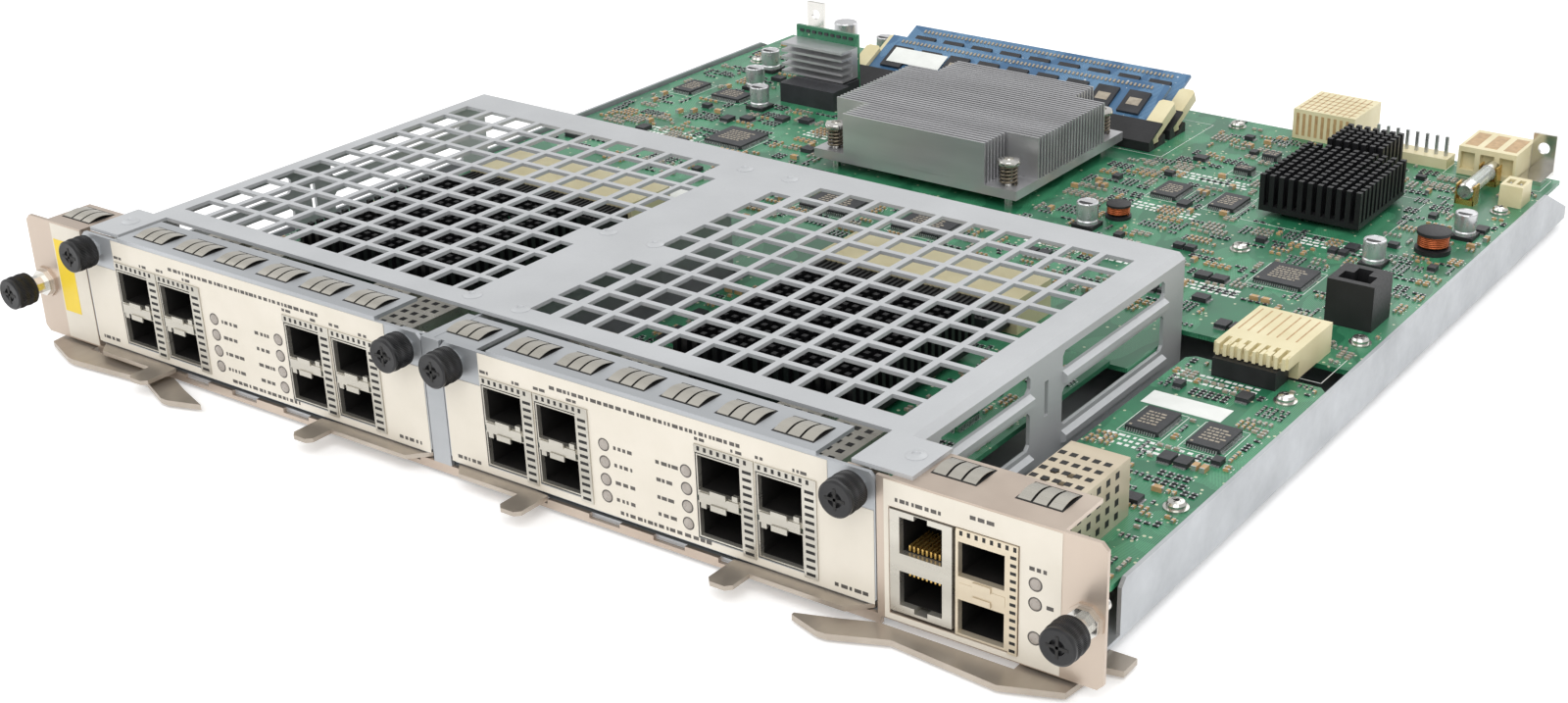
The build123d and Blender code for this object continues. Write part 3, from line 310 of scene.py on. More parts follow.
SQUARE = (1, 1, 1)
ALONG = (0.12, 1, 1)
FINISH_ROWS = {
    "cream": ("cream_film", (214, 207, 193), (220, 213, 200), 90, 0.42, 0.0, 0.08, SQUARE, 18),
    "ear": ("ear_nickel", (188, 172, 158), (204, 190, 176), 40, 0.34, 0.75, 0.08, (1, 1, 0.15)),
    "zinc": ("zinc_sheet", (168, 171, 174), (190, 193, 196), 45, 0.42, 0.6, 0.08, ALONG, 9),
    "cover": ("cover_sheet", (184, 186, 188), (194, 196, 198), 35, 0.5, 0.35, 0.05, SQUARE, 40),
    "lever": ("lever_steel", (170, 160, 148), (192, 182, 170), 55, 0.36, 0.7, 0.1, (1, 0.3, 1), 9),
    "black": ("black_moulding", (22, 22, 24), (34, 34, 36), 120, 0.5, 0.0, 0.2, SQUARE, 8),
    "chip": ("chip_package", (36, 37, 40), (50, 51, 55), 150, 0.45, 0.0, 0.15, SQUARE, 10),
    "ivory": ("ivory_moulding", (214, 202, 160), (228, 218, 180), 70, 0.4, 0.0, 0.08, SQUARE, 8),
    "shell": ("plated_shell", (176, 172, 162), (206, 202, 192), 80, 0.3, 0.8, 0.06, ALONG),
    "warm_shell": ("warm_shell", (196, 182, 158), (216, 204, 182), 80, 0.36, 0.55, 0.06, ALONG),
    "aluminium": ("milled_fins", (188, 188, 190), (210, 210, 212), 90, 0.34, 0.75, 0.08, ALONG, 10),
    "spring": ("spring_steel", (96, 88, 76), (140, 130, 114), 200, 0.3, 0.9, 0.05),
    "black_fins": ("black_anodised", (16, 16, 18), (30, 30, 33), 90, 0.42, 0.2, 0.1, SQUARE, 12),
    "knob": ("knob_black", (18, 18, 20), (30, 30, 32), 200, 0.35, 0.1, 0.15),
    "chrome": ("bright_nickel", (196, 194, 188), (222, 220, 215), 60, 0.16, 0.95, 0.03),
    "can": ("can_top", (196, 196, 198), (216, 216, 218), 120, 0.3, 0.7, 0.05),
    "copper": ("copper_wire", (150, 74, 40), (190, 104, 62), 300, 0.3, 0.7, 0.2),
    "gold": ("gold_plate", (196, 156, 82), (222, 186, 110), 200, 0.28, 0.85, 0.05),
    "tin": ("tinned_lead", (176, 178, 178), (206, 208, 208), 300, 0.3, 0.75, 0.05),
    "white": ("white_print", (226, 228, 224), (236, 238, 234), 150, 0.55, 0.0, 0.03),
    "print": ("dark_print", (70, 66, 62), (88, 84, 80), 150, 0.5, 0.0, 0.03),
    "yellow": ("yellow_film", (228, 196, 40), (238, 208, 60), 90, 0.4, 0.0, 0.05),
    "grey_part": ("grey_ceramic", (150, 140, 124), (176, 166, 148), 500, 0.45, 0.0, 0.05),
    "tan_part": ("tan_ceramic", (170, 138, 96), (196, 162, 116), 500, 0.45, 0.0, 0.05),
    "lamp": ("lamp_lens", (150, 142, 134), (168, 160, 152), 300, 0.3, 0.0, 0.05, SQUARE, 4.0, 0.3),
    # port_shadow is painted shade: near-black sheets laid in ports, slots, vents and cross recesses, where
    # only shade falls.
    "dark": ("port_shadow", (14, 13, 12), (24, 22, 20), 200, 0.6, 0.0, 0.05),
}
CIRCUIT_ROWS = {
    "board": ("processor_board", (44, 116, 82), (34, 100, 70), (72, 148, 108), (196, 200, 170), 0.5),
    "memory": ("memory_board", (72, 112, 148), (54, 94, 132), (104, 142, 174), (188, 196, 204), 0.6),
}


def make_materials():
    """Every finish of the object, by the plain name that the pieces use."""
    made = {}
    for finish, (name, low, high, *rest) in FINISH_ROWS.items():
        made[finish] = surface(name, srgb(*low), srgb(*high), *rest)
    for finish, (name, *colours, share) in CIRCUIT_ROWS.items():
        made[finish] = circuit(name, *(srgb(*colour) for colour in colours), share)
    made["glass"] = glass_tube()
    return made


def glass_tube():
    """Clear glass, faintly clouded."""
    material, tree, shader = new_material("fuse_glass")
    cloud = noise(tree, mapped(tree), 200.0)
    inputs = {
        "Base Color": ramp(tree, cloud, srgb(226, 232, 226), srgb(240, 244, 240)),
        "Roughness": spread(tree, cloud, 0.05, 0.12),
        "Transmission Weight": 0.7,
    }
    feed(tree, shader, inputs)
    return material


FINISHES = make_materials()

CAD_FINISHES = {
    "ear": ["front_panel"],
    "zinc": ["centre_divider", "base_tray", "left_module_faceplate", "right_module_faceplate"],
    "cover": ["module_cage"],
    "board": ["main_board", "port_board", "converter_board", "left_module_board", "right_module_board"],
    "black": ["link_header", "memory_sockets", "keyed_socket", "left_module_plug", "right_module_plug"],
    "ivory": ["link_receptacle", "backplane_connector", "power_header", "power_connector", "two_way_header"],
    "shell": ["rj45_jack", "left_module_sfp_cages", "right_module_sfp_cages"],
    "warm_shell": ["uplink_sfp_cage"],
    "aluminium": ["cpu_heatsink", "converter_heatsink"],
    "chip": ["board_chips", "converter_base", "inductors"],
    "memory": ["front_memory_module", "rear_memory_module"],
    "black_fins": [
        "pin_fin_heatsink",
        "small_pin_fin_heatsink",
        "left_module_heatsink",
        "right_module_heatsink",
    ],
    "chrome": ["board_screws", "guide_brackets", "screw_ferrules", "heatsink_screws"],
    "spring": ["heatsink_springs"],
    "can": ["electrolytic_capacitors"],
    "glass": ["fuse"],
    "lever": ["main_left_lever", "main_right_lever"],
    "knob": ["main_left_thumbscrew", "main_right_thumbscrew"],
}
CAD_FINISHES["ivory"] += ["module_receptacles"]
for module in MODULES:
    for hand in MODULES:
        CAD_FINISHES["lever"].append(f"{module}_module_{hand}_lever")
        CAD_FINISHES["knob"].append(f"{module}_module_{hand}_thumbscrew")
for row in ("front", "rear"):
    for hand in MODULES:
        CAD_FINISHES["ivory"].append(f"{row}_{hand}_memory_latch")


class StageSettings(bpy.types.PropertyGroup):
    """The camera's place, in panel millimetres, and the light levels."""

    camera_x: bpy.props.FloatProperty(name="Camera X", description="Across the panel, mm", default=600.5)
    camera_y: bpy.props.FloatProperty(
        name="Camera Y",
        description="Behind the panel's face, mm",
        default=-384.2,
    )
    camera_z: bpy.props.FloatProperty(
        name="Camera Z",
        description="Above the panel's foot, mm",
        default=287.8,
    )
    lens: bpy.props.FloatProperty(name="Lens", description="Focal length on 36 mm, mm", default=48.8)
    key_power: bpy.props.FloatProperty(
        name="Key light",
        description="Power of the key lamp",
        default=7.0,
        unit="POWER",
    )
    world_level: bpy.props.FloatProperty(
        name="Sky level",
        description="Strength of the plain sky",
        default=0.75,
    )


class DetailSettings(bpy.types.PropertyGroup):
    """Sizes and counts of the small parts, in millimetres."""

    board_parts: bpy.props.IntProperty(
        name="Board parts",
        description="Small parts tried on the boards",
        default=5200,
    )
    knurls: bpy.props.IntProperty(name="Knurls", description="Ridges round each knob", default=36)
    spring_turns: bpy.props.FloatProperty(
        name="Spring turns",
        description="Turns of each heatsink spring",
        default=5.0,
    )
    lead_pitch: bpy.props.FloatProperty(
        name="Lead pitch",
        description="Spacing of the chips' leads, mm",
        default=0.8,
    )


class DressFrame(bpy.types.Operator):
    """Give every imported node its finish."""

    bl_idname = "module.dress_frame"
    bl_label = "Frame finishes"

    def execute(self, context):
        for finish, nodes in CAD_FINISHES.items():
            for name in nodes:
                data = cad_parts[name].data
                data.materials.clear()
                data.materials.append(FINISHES[finish])
        return {"FINISHED"}


CAMERA_FORWARD = Vector((-0.47876, 0.76844, -0.42460))
CAMERA_DOWN = Vector((0.23004, -0.35694, -0.90536))
CAMERA_SHIFT = (-0.1196, 0.0139)
SENSOR_WIDTH = 36.0
LAMPS = (
    ("key", (0.5, -0.9, 1.2), 1.3, 1.6),
    ("fill", (-1.2, -0.5, 0.9), 1.2, 0.7),
    ("back", (0.2, 1.2, 1.0), 1.2, 0.8),
)
FLOOR_RADIUS = 3
FLOOR_LEVEL = -0.0004


class BuildStage(bpy.types.Operator):
    """Add the camera, the floor, the lamps and the plain sky."""

    bl_idname = "module.build_stage"
    bl_label = "Stage"

    def execute(self, context):
        settings = context.scene.module_stage
        scene = context.scene
        scene.view_settings.view_transform = "Standard"
        data = bpy.data.cameras.new("photo_camera")
        camera = bpy.data.objects.new("photo_camera", data)
        scene.collection.objects.link(camera)
        forward = CAMERA_FORWARD.normalized()
        right = forward.cross(-CAMERA_DOWN).normalized()
        up = right.cross(forward)
        turn = Matrix((right, up, -forward)).transposed().to_4x4()
        spot = place((settings.camera_x, settings.camera_y, settings.camera_z))
        camera.matrix_world = Matrix.Translation(Vector(spot)) @ turn
        data.sensor_width = SENSOR_WIDTH
        data.lens = settings.lens
        data.shift_x, data.shift_y = CAMERA_SHIFT
        data.clip_start = 0.01
        scene.camera = camera
        self.add_floor(scene)
        self.add_lamps(scene, settings)
        self.add_sky(scene, settings)
        return {"FINISHED"}

    def add_floor(self, scene):
        """A large pale disc just under the part, white to the camera and to reflections."""
        turn = np.linspace(0, 2 * math.pi, 64, endpoint=False)
        rim = np.stack([FLOOR_RADIUS * np.cos(turn), FLOOR_RADIUS * np.sin(turn), 0 * turn + FLOOR_LEVEL], -1)
        mesh = bpy.data.meshes.new("floor")
        mesh.from_pydata(rim.tolist(), [], [list(range(len(turn)))])
        floor = bpy.data.objects.new("floor", mesh)
        scene.collection.objects.link(floor)
        material, tree, shader = new_material("pale_floor")
        cloud = noise(tree, mapped(tree), 3.0)
        inputs = {
            "Base Color": ramp(tree, cloud, (0.90, 0.90, 0.90, 1), (0.93, 0.93, 0.93, 1)),
            "Roughness": 0.9,
            "Emission Color": (1, 1, 1, 1),
            "Emission Strength": 0.22,
        }
        feed(tree, shader, inputs)
        mesh.materials.append(material)
        floor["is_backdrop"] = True

    def add_lamps(self, scene, settings):
        """A large key lamp over the front right, a fill from the left and a strip behind."""
        for name, spot, width, share in LAMPS:
            data = bpy.data.lights.new(name, "AREA")
            data.size = width
            data.energy = settings.key_power * share
            lamp = bpy.data.objects.new(name, data)
            lamp.location = spot
            lamp.rotation_euler = (-Vector(spot)).to_track_quat("-Z", "Y").to_euler()
            scene.collection.objects.link(lamp)

    def add_sky(self, scene, settings):
        """An even sky that lights softly and shows as white behind the part and in reflections."""
        world = bpy.data.worlds.new("plain_sky")
        scene.world = world
        world.use_nodes = True
        tree = world.node_tree
        tree.nodes.clear()
        lights, shows = (
            add_node(tree, "Background", {"Color": (1, 1, 1, 1), "Strength": level}, "Background")
            for level in (settings.world_level, 1.0)
        )
        seen = add_node(tree, "LightPath", {}, "Is Camera Ray")
        mix = add_node(tree, "MixShader", {"Fac": seen, 1: lights, 2: shows}, "Shader")
        feed(tree, tree.nodes.new("ShaderNodeOutputWorld"), {"Surface": mix})


FILM = 0.15
PRINT = 0.03
LAMP_X = (59.5, 88.0)
LAMP_Z = (24.3, 19.0, 13.6, 8.4)
LAMP_RADIUS = 1.7
PORT_LOW = (6.0, 16.2)
PORT_HIGH = (19.8, 30.2)
WINDOW_Z = (5.0, 31.2)
SLOT_PITCH = 2.2
# Thickness of the painted shade sheets inside the ports.
SHADE_SHEET = 0.06
PORT_DEPTH = 46.0
FILM_EDGE = 0.5
FILM_CORNERS = (14.6, 134.4)
FILM_LEVELS = (2.9, 5.0, 30.2, 31.2, 40.5)
CORNER_Z = (30.2, 41)
MODULE_PRINT = ((41, 36.2, 66), (64, 4.0, 30), (3, 4.6, 8), (136, 4.6, 9))
JACK_DEPTH = 13.9
PIN_PITCH = 1.27


def film_cells(x_breaks, z_breaks, holes, y=(-FILM, 0.0)):
    """Boxes of a flat film: the cells between the breaks, without those whose middle is in a hole."""
    x_low, z_low = np.meshgrid(x_breaks[:-1], z_breaks[:-1], indexing="ij")
    x_high, z_high = np.meshgrid(x_breaks[1:], z_breaks[1:], indexing="ij")
    x_mid, z_mid = (x_low + x_high) / 2, (z_low + z_high) / 2
    keep = np.ones(x_mid.shape, bool)
    for left, right, low, high in holes:
        keep &= ~((x_mid > left) & (x_mid < right) & (z_mid > low) & (z_mid < high))
    front = np.full(x_mid.shape, y[0])
    back = np.full(x_mid.shape, y[1])
    return np.stack([x_low, front, z_low, x_high, back, z_high], -1)[keep]


def port_frame(left, right, low, high):
    """The perforated spring strip at the right and over a column of ports: its plates, and dark slots of
    painted shade in its perforations.
    """
    plates = [[left - 0.6, -0.55, high + 0.1, right, -FILM, high + 2.4]]
    plates.append([left + PORT_WIDTH + 0.6, -0.55, low - 0.6, right, -FILM, high + 0.1])
    x = np.arange(left + 0.9, right - 0.6, SLOT_PITCH)
    top = centred(x, -0.5, high + 0.7, 0.9, 0.16, 1.3)
    z = np.arange(low + 0.6, high - 0.4, SLOT_PITCH)
    across = right - left - PORT_WIDTH - 0.6
    side = centred(left + PORT_WIDTH + 0.6 + across / 2, -0.5, z - 0.45, across * 0.66, 0.16, 0.9)
    return plates, np.concatenate([top, side])


def port_shade_sheet(left, right, low, high, depth):
    """Sheets of painted shade: thin dark faces just inside a port's four walls and at its back."""
    t = SHADE_SHEET
    return [
        [left, 1.5, low, left + t, depth, high],
        [right - t, 1.5, low, right, depth, high],
        [left, 1.5, low, right, depth, low + t],
        [left, 1.5, high - t, right, depth, high],
        [left, depth - t, low, right, depth, high],
    ]


def port_latch(left, middle):
    """The bright cross strip between two stacked ports, with a spring tongue up and down from it."""
    centre = left + PORT_WIDTH / 2
    return [
        [left + 0.4, -0.5, middle - 1.5, left + PORT_WIDTH - 0.4, 1.4, middle + 1.5],
        [centre - 2.6, -0.9, middle - 2.9, centre + 2.6, -0.4, middle - 1.2],
        [centre - 2.6, -0.9, middle + 1.2, centre + 2.6, -0.4, middle + 2.9],
        [left + 0.8, -0.3, middle - 3.2, left + 2.6, 0.8, middle - 1.5],
        [left + PORT_WIDTH - 2.6, -0.3, middle + 1.5, left + PORT_WIDTH - 0.8, 0.8, middle + 3.2],
    ]


def stretches(random, start, width, lengths, gaps):
    """Uneven stretches over a width: a length is drawn for each, and then the gap after it."""
    cursor = start
    while cursor < start + width:
        length = random.uniform(*lengths)
        yield cursor, cursor + length
        cursor += length + random.uniform(*gaps)


def print_row(random, x, z, width, height=1.1):
    """A row of small dark marks of uneven length, in place of a line of print."""
    runs = stretches(random, x, width, (0.6, 2.2), (0.3, 0.9))
    return [[low, -FILM - PRINT, z, high, -FILM, z + height] for low, high in runs]


class ModuleFaces(bpy.types.Operator):
    """Add each port module's film, print, spring strips, latches and lamps."""

    bl_idname = "module.module_faces"
    bl_label = "Port module faces"

    def execute(self, context):
        random = np.random.default_rng(7)
        for module, left in MODULES.items():
            body = f"{module}_module"
            columns = [left + x for x in PORT_COLUMNS]
            holes = [(c - 0.7, c + PORT_WIDTH + 0.7, *WINDOW_Z) for c in columns]
            x_breaks = [edge for hole in holes for edge in hole[:2]]
            right, (first, last) = left + MODULE_WIDTH, (left + x for x in FILM_CORNERS)
            holes += [(left, first, *CORNER_Z), (last, right, *CORNER_Z)]
            x_breaks = sorted(x_breaks + [left + FILM_EDGE, first, last, right - FILM_EDGE])
            cells = film_cells(np.array(x_breaks), np.array(FILM_LEVELS), holes)
            add_boxes(f"{body}_film", cells, "cream", body, "cream_panel")
            plates, slots, shade_sheets, latches = [], [], [], []
            for column in columns:
                # dark holds the painted shade in the strip's slots.
                more, dark = port_frame(column, column + PORT_WIDTH + 5.0, *WINDOW_Z)
                plates += more
                slots.append(dark)
                latches += port_latch(column, (PORT_LOW[1] + PORT_HIGH[0]) / 2)
                for low, high in (PORT_LOW, PORT_HIGH):
                    shade_sheets += port_shade_sheet(column, column + PORT_WIDTH, low, high, PORT_DEPTH)
            add_boxes(f"{body}_strips", plates, "shell", body, "plated_shell")
            # The strip slots and the faces inside the ports are near-black boxes of painted shade.
            add_boxes(f"{body}_strip_slots", np.concatenate(slots), "dark", body)
            add_boxes(f"{body}_port_liners", shade_sheets, "dark", body)
            add_boxes(f"{body}_port_latches", latches, "shell", body, "plated_shell")
            marks = []
            for x, z, width in MODULE_PRINT:
                marks += print_row(random, left + x, z, width)
            for column in columns:
                marks += print_row(random, column - 0.5, 34.6, 2.6, 0.9)
                marks += print_row(random, column + 11.5, 34.2, 2.6, 0.9)
            for z in LAMP_Z:
                marks += print_row(random, left + LAMP_X[0] + 3.4, z - 0.6, 6.0)
                marks += print_row(random, left + LAMP_X[1] - 10.4, z - 0.6, 6.0)
            add_boxes(f"{body}_print", marks, "print", body)
            spots = [(left + x, 0, z) for x in LAMP_X for z in LAMP_Z]
            add_lamps(f"{body}_lamps", spots, body)
        return {"FINISHED"}


def add_lamps(name, spots, body):
    """Round lamp lenses: a short cylinder closed by a low dome, each turned from one profile."""
    angle = np.linspace(0, math.pi / 2, 5)
    rise = angle[::-1]
    dome = np.stack([LAMP_RADIUS * 0.94 * np.cos(rise) + 0.001, -0.45 * np.sin(rise) - FILM], -1)
    profile = np.concatenate([dome, [[LAMP_RADIUS * 0.94, 1.0]]])
    add_lathe(name, profile, spots, "Y", 20, "lamp", body)
    inner, crest, outer = LAMP_RADIUS * 0.96, LAMP_RADIUS * 1.12, LAMP_RADIUS * 1.16
    rim = [[inner, -FILM], [crest, -FILM - PRINT], [outer, -FILM]]
    add_lathe(f"{name}_rims", rim, spots, "Y", 24, "print", body)


FINGER_LENGTH = 9.0
FINGER_WIDTH = 3.7
FINGER_GAP = 0.7
FINGER_SHEET = 0.15


def finger_arrays(centres, z, rise=0.9, steps=8):
    """Groups of three arched spring fingers: each is a strip whose height over the flange is the rise
    times the sine of pi times the share of its length, with its sheet's thickness."""
    share = np.linspace(0, 1, steps)
    depth, height = FINGER_LENGTH * (share - 0.5), rise * np.sin(math.pi * share)
    half = FINGER_WIDTH / 2
    corners = [(-half, 0.0), (half, 0.0), (half, FINGER_SHEET), (-half, FINGER_SHEET)]
    edges = [np.stack([np.full(steps, x), depth, height + rest], -1) for x, rest in corners]
    quads = np.roll(ring_quads(steps, 4), -1, axis=1)
    caps = [np.arange(4)[::-1], 4 * (steps - 1) + np.arange(4)]
    pitch = FINGER_WIDTH + FINGER_GAP
    spots = [(x + index * pitch, y, z) for x, y in centres for index in (-1, 0, 1)]
    return copies(np.stack(edges, 1), quads, caps, spots)


def add_fingers(name, centres, z, body):
    """A dark slot of painted shade and three spring fingers at each centre on a flange."""
    add_piece(name, finger_arrays(centres, z + 0.05), "shell", body, "plated_shell")
    spots = np.array(centres)
    slots = centred(spots[:, 0], spots[:, 1], z, 3 * FINGER_WIDTH + 2.4, FINGER_LENGTH + 1.0, 0.06)
    add_boxes(f"{name}_slots", slots, "dark", body)


class FlangeFingers(bpy.types.Operator):
    """Add the spring fingers on every top flange."""

    bl_idname = "module.flange_fingers"
    bl_label = "Spring fingers"

    def execute(self, context):
        for module, left in MODULES.items():
            centres = [(left + 28.0 + 18.6 * i, 8.5) for i in range(6)]
            add_fingers(f"{module}_module_fingers", centres, COVER_TOP, f"{module}_module")
        add_fingers("panel_fingers", [(351, 13.0), (375.5, 13.0), (18.5, 10.0)], PANEL_TOP, "chassis")
        return {"FINISHED"}


JACK_PORT_X = (340.4, 353.1)
JACK_PORTS = ((20.6, 31.0), (5.6, 15.6))
UPLINK_X = (357.8, 371.2)
UPLINK_PORTS = ((3.2, 13.0), (19.6, 29.4))
PANEL_HOLE = (337.0, 375.3, 2.0, 33.2)
FILM_TOP = 40.3
YELLOW_FILM = [12.8, -0.25, 10, 20.6, -FILM, 35]
PANEL_LAMPS = ((379.8, 24.0), (379.8, 18.5), (379.8, 8.8))
PANEL_PRINT = ((339, 34.8, 14), (361, 36.4, 7), (378, 27.6, 5), (383, 18.0, 1.5), (383, 8.4, 1.5))


class PanelFaces(bpy.types.Operator):
    """Add the frame's films, print, port details and lamps at both ends of the panel."""

    bl_idname = "module.panel_faces"
    bl_label = "Panel ends"

    def execute(self, context):
        random = np.random.default_rng(11)
        left, right, low, high = PANEL_HOLE
        x_breaks, z_breaks = np.array([335.6, left, right, 387.0]), np.array([0.4, low, high, FILM_TOP])
        cells = film_cells(x_breaks, z_breaks, [PANEL_HOLE])
        left_film = film_cells(np.array([12.2, 27.0]), np.array([0.6, FILM_TOP]), [])
        films = np.concatenate([cells, left_film])
        add_boxes("panel_films", films, "cream", "chassis", "cream_panel")
        add_boxes("plain_yellow_film", [YELLOW_FILM], "yellow", "chassis")
        marks = []
        for x, z, width in PANEL_PRINT:
            marks += print_row(random, x, z, width)
        add_boxes("panel_print", marks, "print", "chassis")
        plates, slots = port_frame(UPLINK_X[0], 375.0, 2.6, 30.6)
        add_boxes("uplink_strips", plates, "warm_shell", "chassis", "cream_plated")
        # The strip slots are near-black boxes of painted shade.
        add_boxes("uplink_strip_slots", slots, "dark", "chassis")
        # Near-black sheets of painted shade inside the uplink and jack ports.
        shade_sheets = []
        for low, high in UPLINK_PORTS:
            shade_sheets += port_shade_sheet(*UPLINK_X, low, high, PORT_DEPTH)
        for low, high in JACK_PORTS:
            shade_sheets += port_shade_sheet(*JACK_PORT_X, low, high, JACK_DEPTH)
        add_boxes("panel_port_liners", shade_sheets, "dark", "chassis")
        middle = (UPLINK_PORTS[0][1] + UPLINK_PORTS[1][0]) / 2
        add_boxes("uplink_latch", port_latch(UPLINK_X[0], middle), "warm_shell", "chassis")
        pins = np.arange(8) * PIN_PITCH + sum(JACK_PORT_X) / 2 - 3.5 * PIN_PITCH
        low_row = centred(pins, 6.0, JACK_PORTS[0][0] + 0.3, 0.5, 9.0, 1.6)
        high_row = centred(pins, 6.0, JACK_PORTS[1][1] - 1.9, 0.5, 9.0, 1.6)
        add_boxes("jack_contacts", np.concatenate([low_row, high_row]), "gold", "chassis")
        add_lamps("panel_lamps", [(x, 0, z) for x, z in PANEL_LAMPS], "chassis")
        return {"FINISHED"}


MAIN_SCREWS = {"left": 5.2, "right": 394.0}
MAIN_SCREW_Z = 18.5
MODULE_SCREWS = {"left": 5.75, "right": 143.25}
MODULE_SCREW_Z = 36.0
KNOB_LENGTH = 7.6
KNOB_RADIUS = 5.35
MAIN_KNOB_FRONT = -14.3
MODULE_KNOB_FRONT = -9.5
MAIN_SHAFT_END = 10.0
MODULE_SHAFT_END = 8.0
KNURL_DEPTH = 0.035
KNURL_TWIST = 9
THREAD_PITCH = 0.6


def add_knob(node, x, z, front, back, knurls):
    """A knurled knob with a domed, cross-slotted face on a bright shaft: the radius swings with the
    angle and, across it, with the depth, so the ridges cross as diamonds."""
    def ridge(turn, depth):
        span = (depth - front) / KNOB_LENGTH
        inside = (span > 0.12) & (span < 0.9)
        twist = KNURL_TWIST * span
        wave = np.sin(knurls * turn + twist) * np.sin(knurls * turn - twist)
        return 1 + KNURL_DEPTH * np.where(inside, wave, 0.0)

    rows = np.linspace(0.1, 0.94, 14)
    body_rows = [[KNOB_RADIUS * 0.965, front + KNOB_LENGTH * s] for s in rows]
    head = [[0.4, front + 0.9], [1.9, front + 0.8], [2.2, front + 0.1]]
    head += [[KNOB_RADIUS * 0.86, front], [KNOB_RADIUS * 0.96, front + 0.35]]
    tail = [[KNOB_RADIUS * 0.9, front + KNOB_LENGTH * 0.985], [1.6, front + KNOB_LENGTH]]
    centre, rows = [(x, 0, z)], head + body_rows + tail
    add_lathe(f"{node}_knob", rows, centre, "Y", knurls * 4, "knob", node, "screw_black", [node], ridge)
    # The cross slot is painted shade: two thin near-black boxes on the knob's face.
    cross = [
        [x - wide, front - 0.03, z - tall, x + wide, front + 0.1, z + tall]
        for wide, tall in ((3.1, 0.42), (0.42, 3.1))
    ]
    add_boxes(f"{node}_cross", cross, "dark", node)
    knob_back = front + KNOB_LENGTH
    thread = [[1.5, knob_back - 0.3], [1.5, 2.3], [1.75, 2.5]]
    turns = np.arange(2.7, back - THREAD_PITCH, THREAD_PITCH)
    thread += [row for y in turns for row in ([1.75, y], [1.52, y + THREAD_PITCH / 2])] + [[1.3, back]]
    add_lathe(f"{node}_shaft", thread, centre, "Y", 20, "chrome", node, "bright_steel")


class Thumbscrews(bpy.types.Operator):
    """Replace the plain thumbscrews by knurled knobs on bright threaded shafts."""

    bl_idname = "module.thumbscrews"
    bl_label = "Thumbscrews"

    def execute(self, context):
        knurls = context.scene.module_detail.knurls
        for hand, x in MAIN_SCREWS.items():
            node = f"main_{hand}_thumbscrew"
            add_knob(node, x, MAIN_SCREW_Z, MAIN_KNOB_FRONT, MAIN_SHAFT_END, knurls)
        for module, left in MODULES.items():
            for hand, x in MODULE_SCREWS.items():
                node = f"{module}_module_{hand}_thumbscrew"
                add_knob(node, left + x, MODULE_SCREW_Z, MODULE_KNOB_FRONT, MODULE_SHAFT_END, knurls)
        return {"FINISHED"}


SINK_SCREWS = [(150.5, 240.0), (226.9, 240.0), (150.5, 309.5), (226.9, 309.5)]
SINK_BASE_TOP = 22.5
SPRING_TOP = 30.4
SPRING_COIL = 3.0
SPRING_WIRE = 0.5
SINK_SCREW = [[1.6, 15.0], [1.6, 30.4], [4.2, 30.5], [4.3, 31.2]]
SINK_SCREW += [[3.9, 32.0], [1.8, 32.3], [1.7, 31.6], [0.3, 31.5]]


class HeatsinkSprings(bpy.types.Operator):
    """Replace the sleeves round the heatsink's screws by wound springs, and the screws by turned ones."""

    bl_idname = "module.heatsink_springs"
    bl_label = "Heatsink springs"

    def execute(self, context):
        centres = [(x, y, 0) for x, y in SINK_SCREWS]
        turns = context.scene.module_detail.spring_turns
        low, high = SINK_BASE_TOP + SPRING_WIRE, SPRING_TOP - SPRING_WIRE
        coils = helix_arrays(centres, SPRING_COIL, SPRING_WIRE, low, high, turns)
        steel = "chassis", "dark_steel"
        add_piece("wound_springs", coils, "spring", *steel, ["heatsink_springs"], smooth=True)
        add_lathe("sink_screws", SINK_SCREW, centres, "Z", 28, "chrome", *steel, ["heatsink_screws"])
        return {"FINISHED"}


CANS = [(378.6, 298.6), (361.5, 257.2), (262.0, 236.0), (56.0, 324.0)]
CANS += [(66.0, 300.0), (83.4, 280.0), (86.0, 368.0)]
CAN = [[3.9, 1.4], [3.9, 2.6], [3.6, 3.0], [3.6, 3.3], [3.95, 3.8]]
CAN += [[3.95, 9.1], [3.7, 9.4], [3.4, 9.45], [3.3, 9.3], [0.2, 9.3]]
TALL = [[4.8, 0.0], [5.0, 0.4], [5.0, 2.2], [4.6, 2.6]]
TALL += [[5.0, 3.0], [5.0, 19.2], [4.7, 19.6], [0.2, 19.6]]
TALL_CAN = (79.0, 348.0)
COILS = [(374.0, 280.0, 6.0, 23.0), (267.0, 250.0, 4.5, 20.5)]


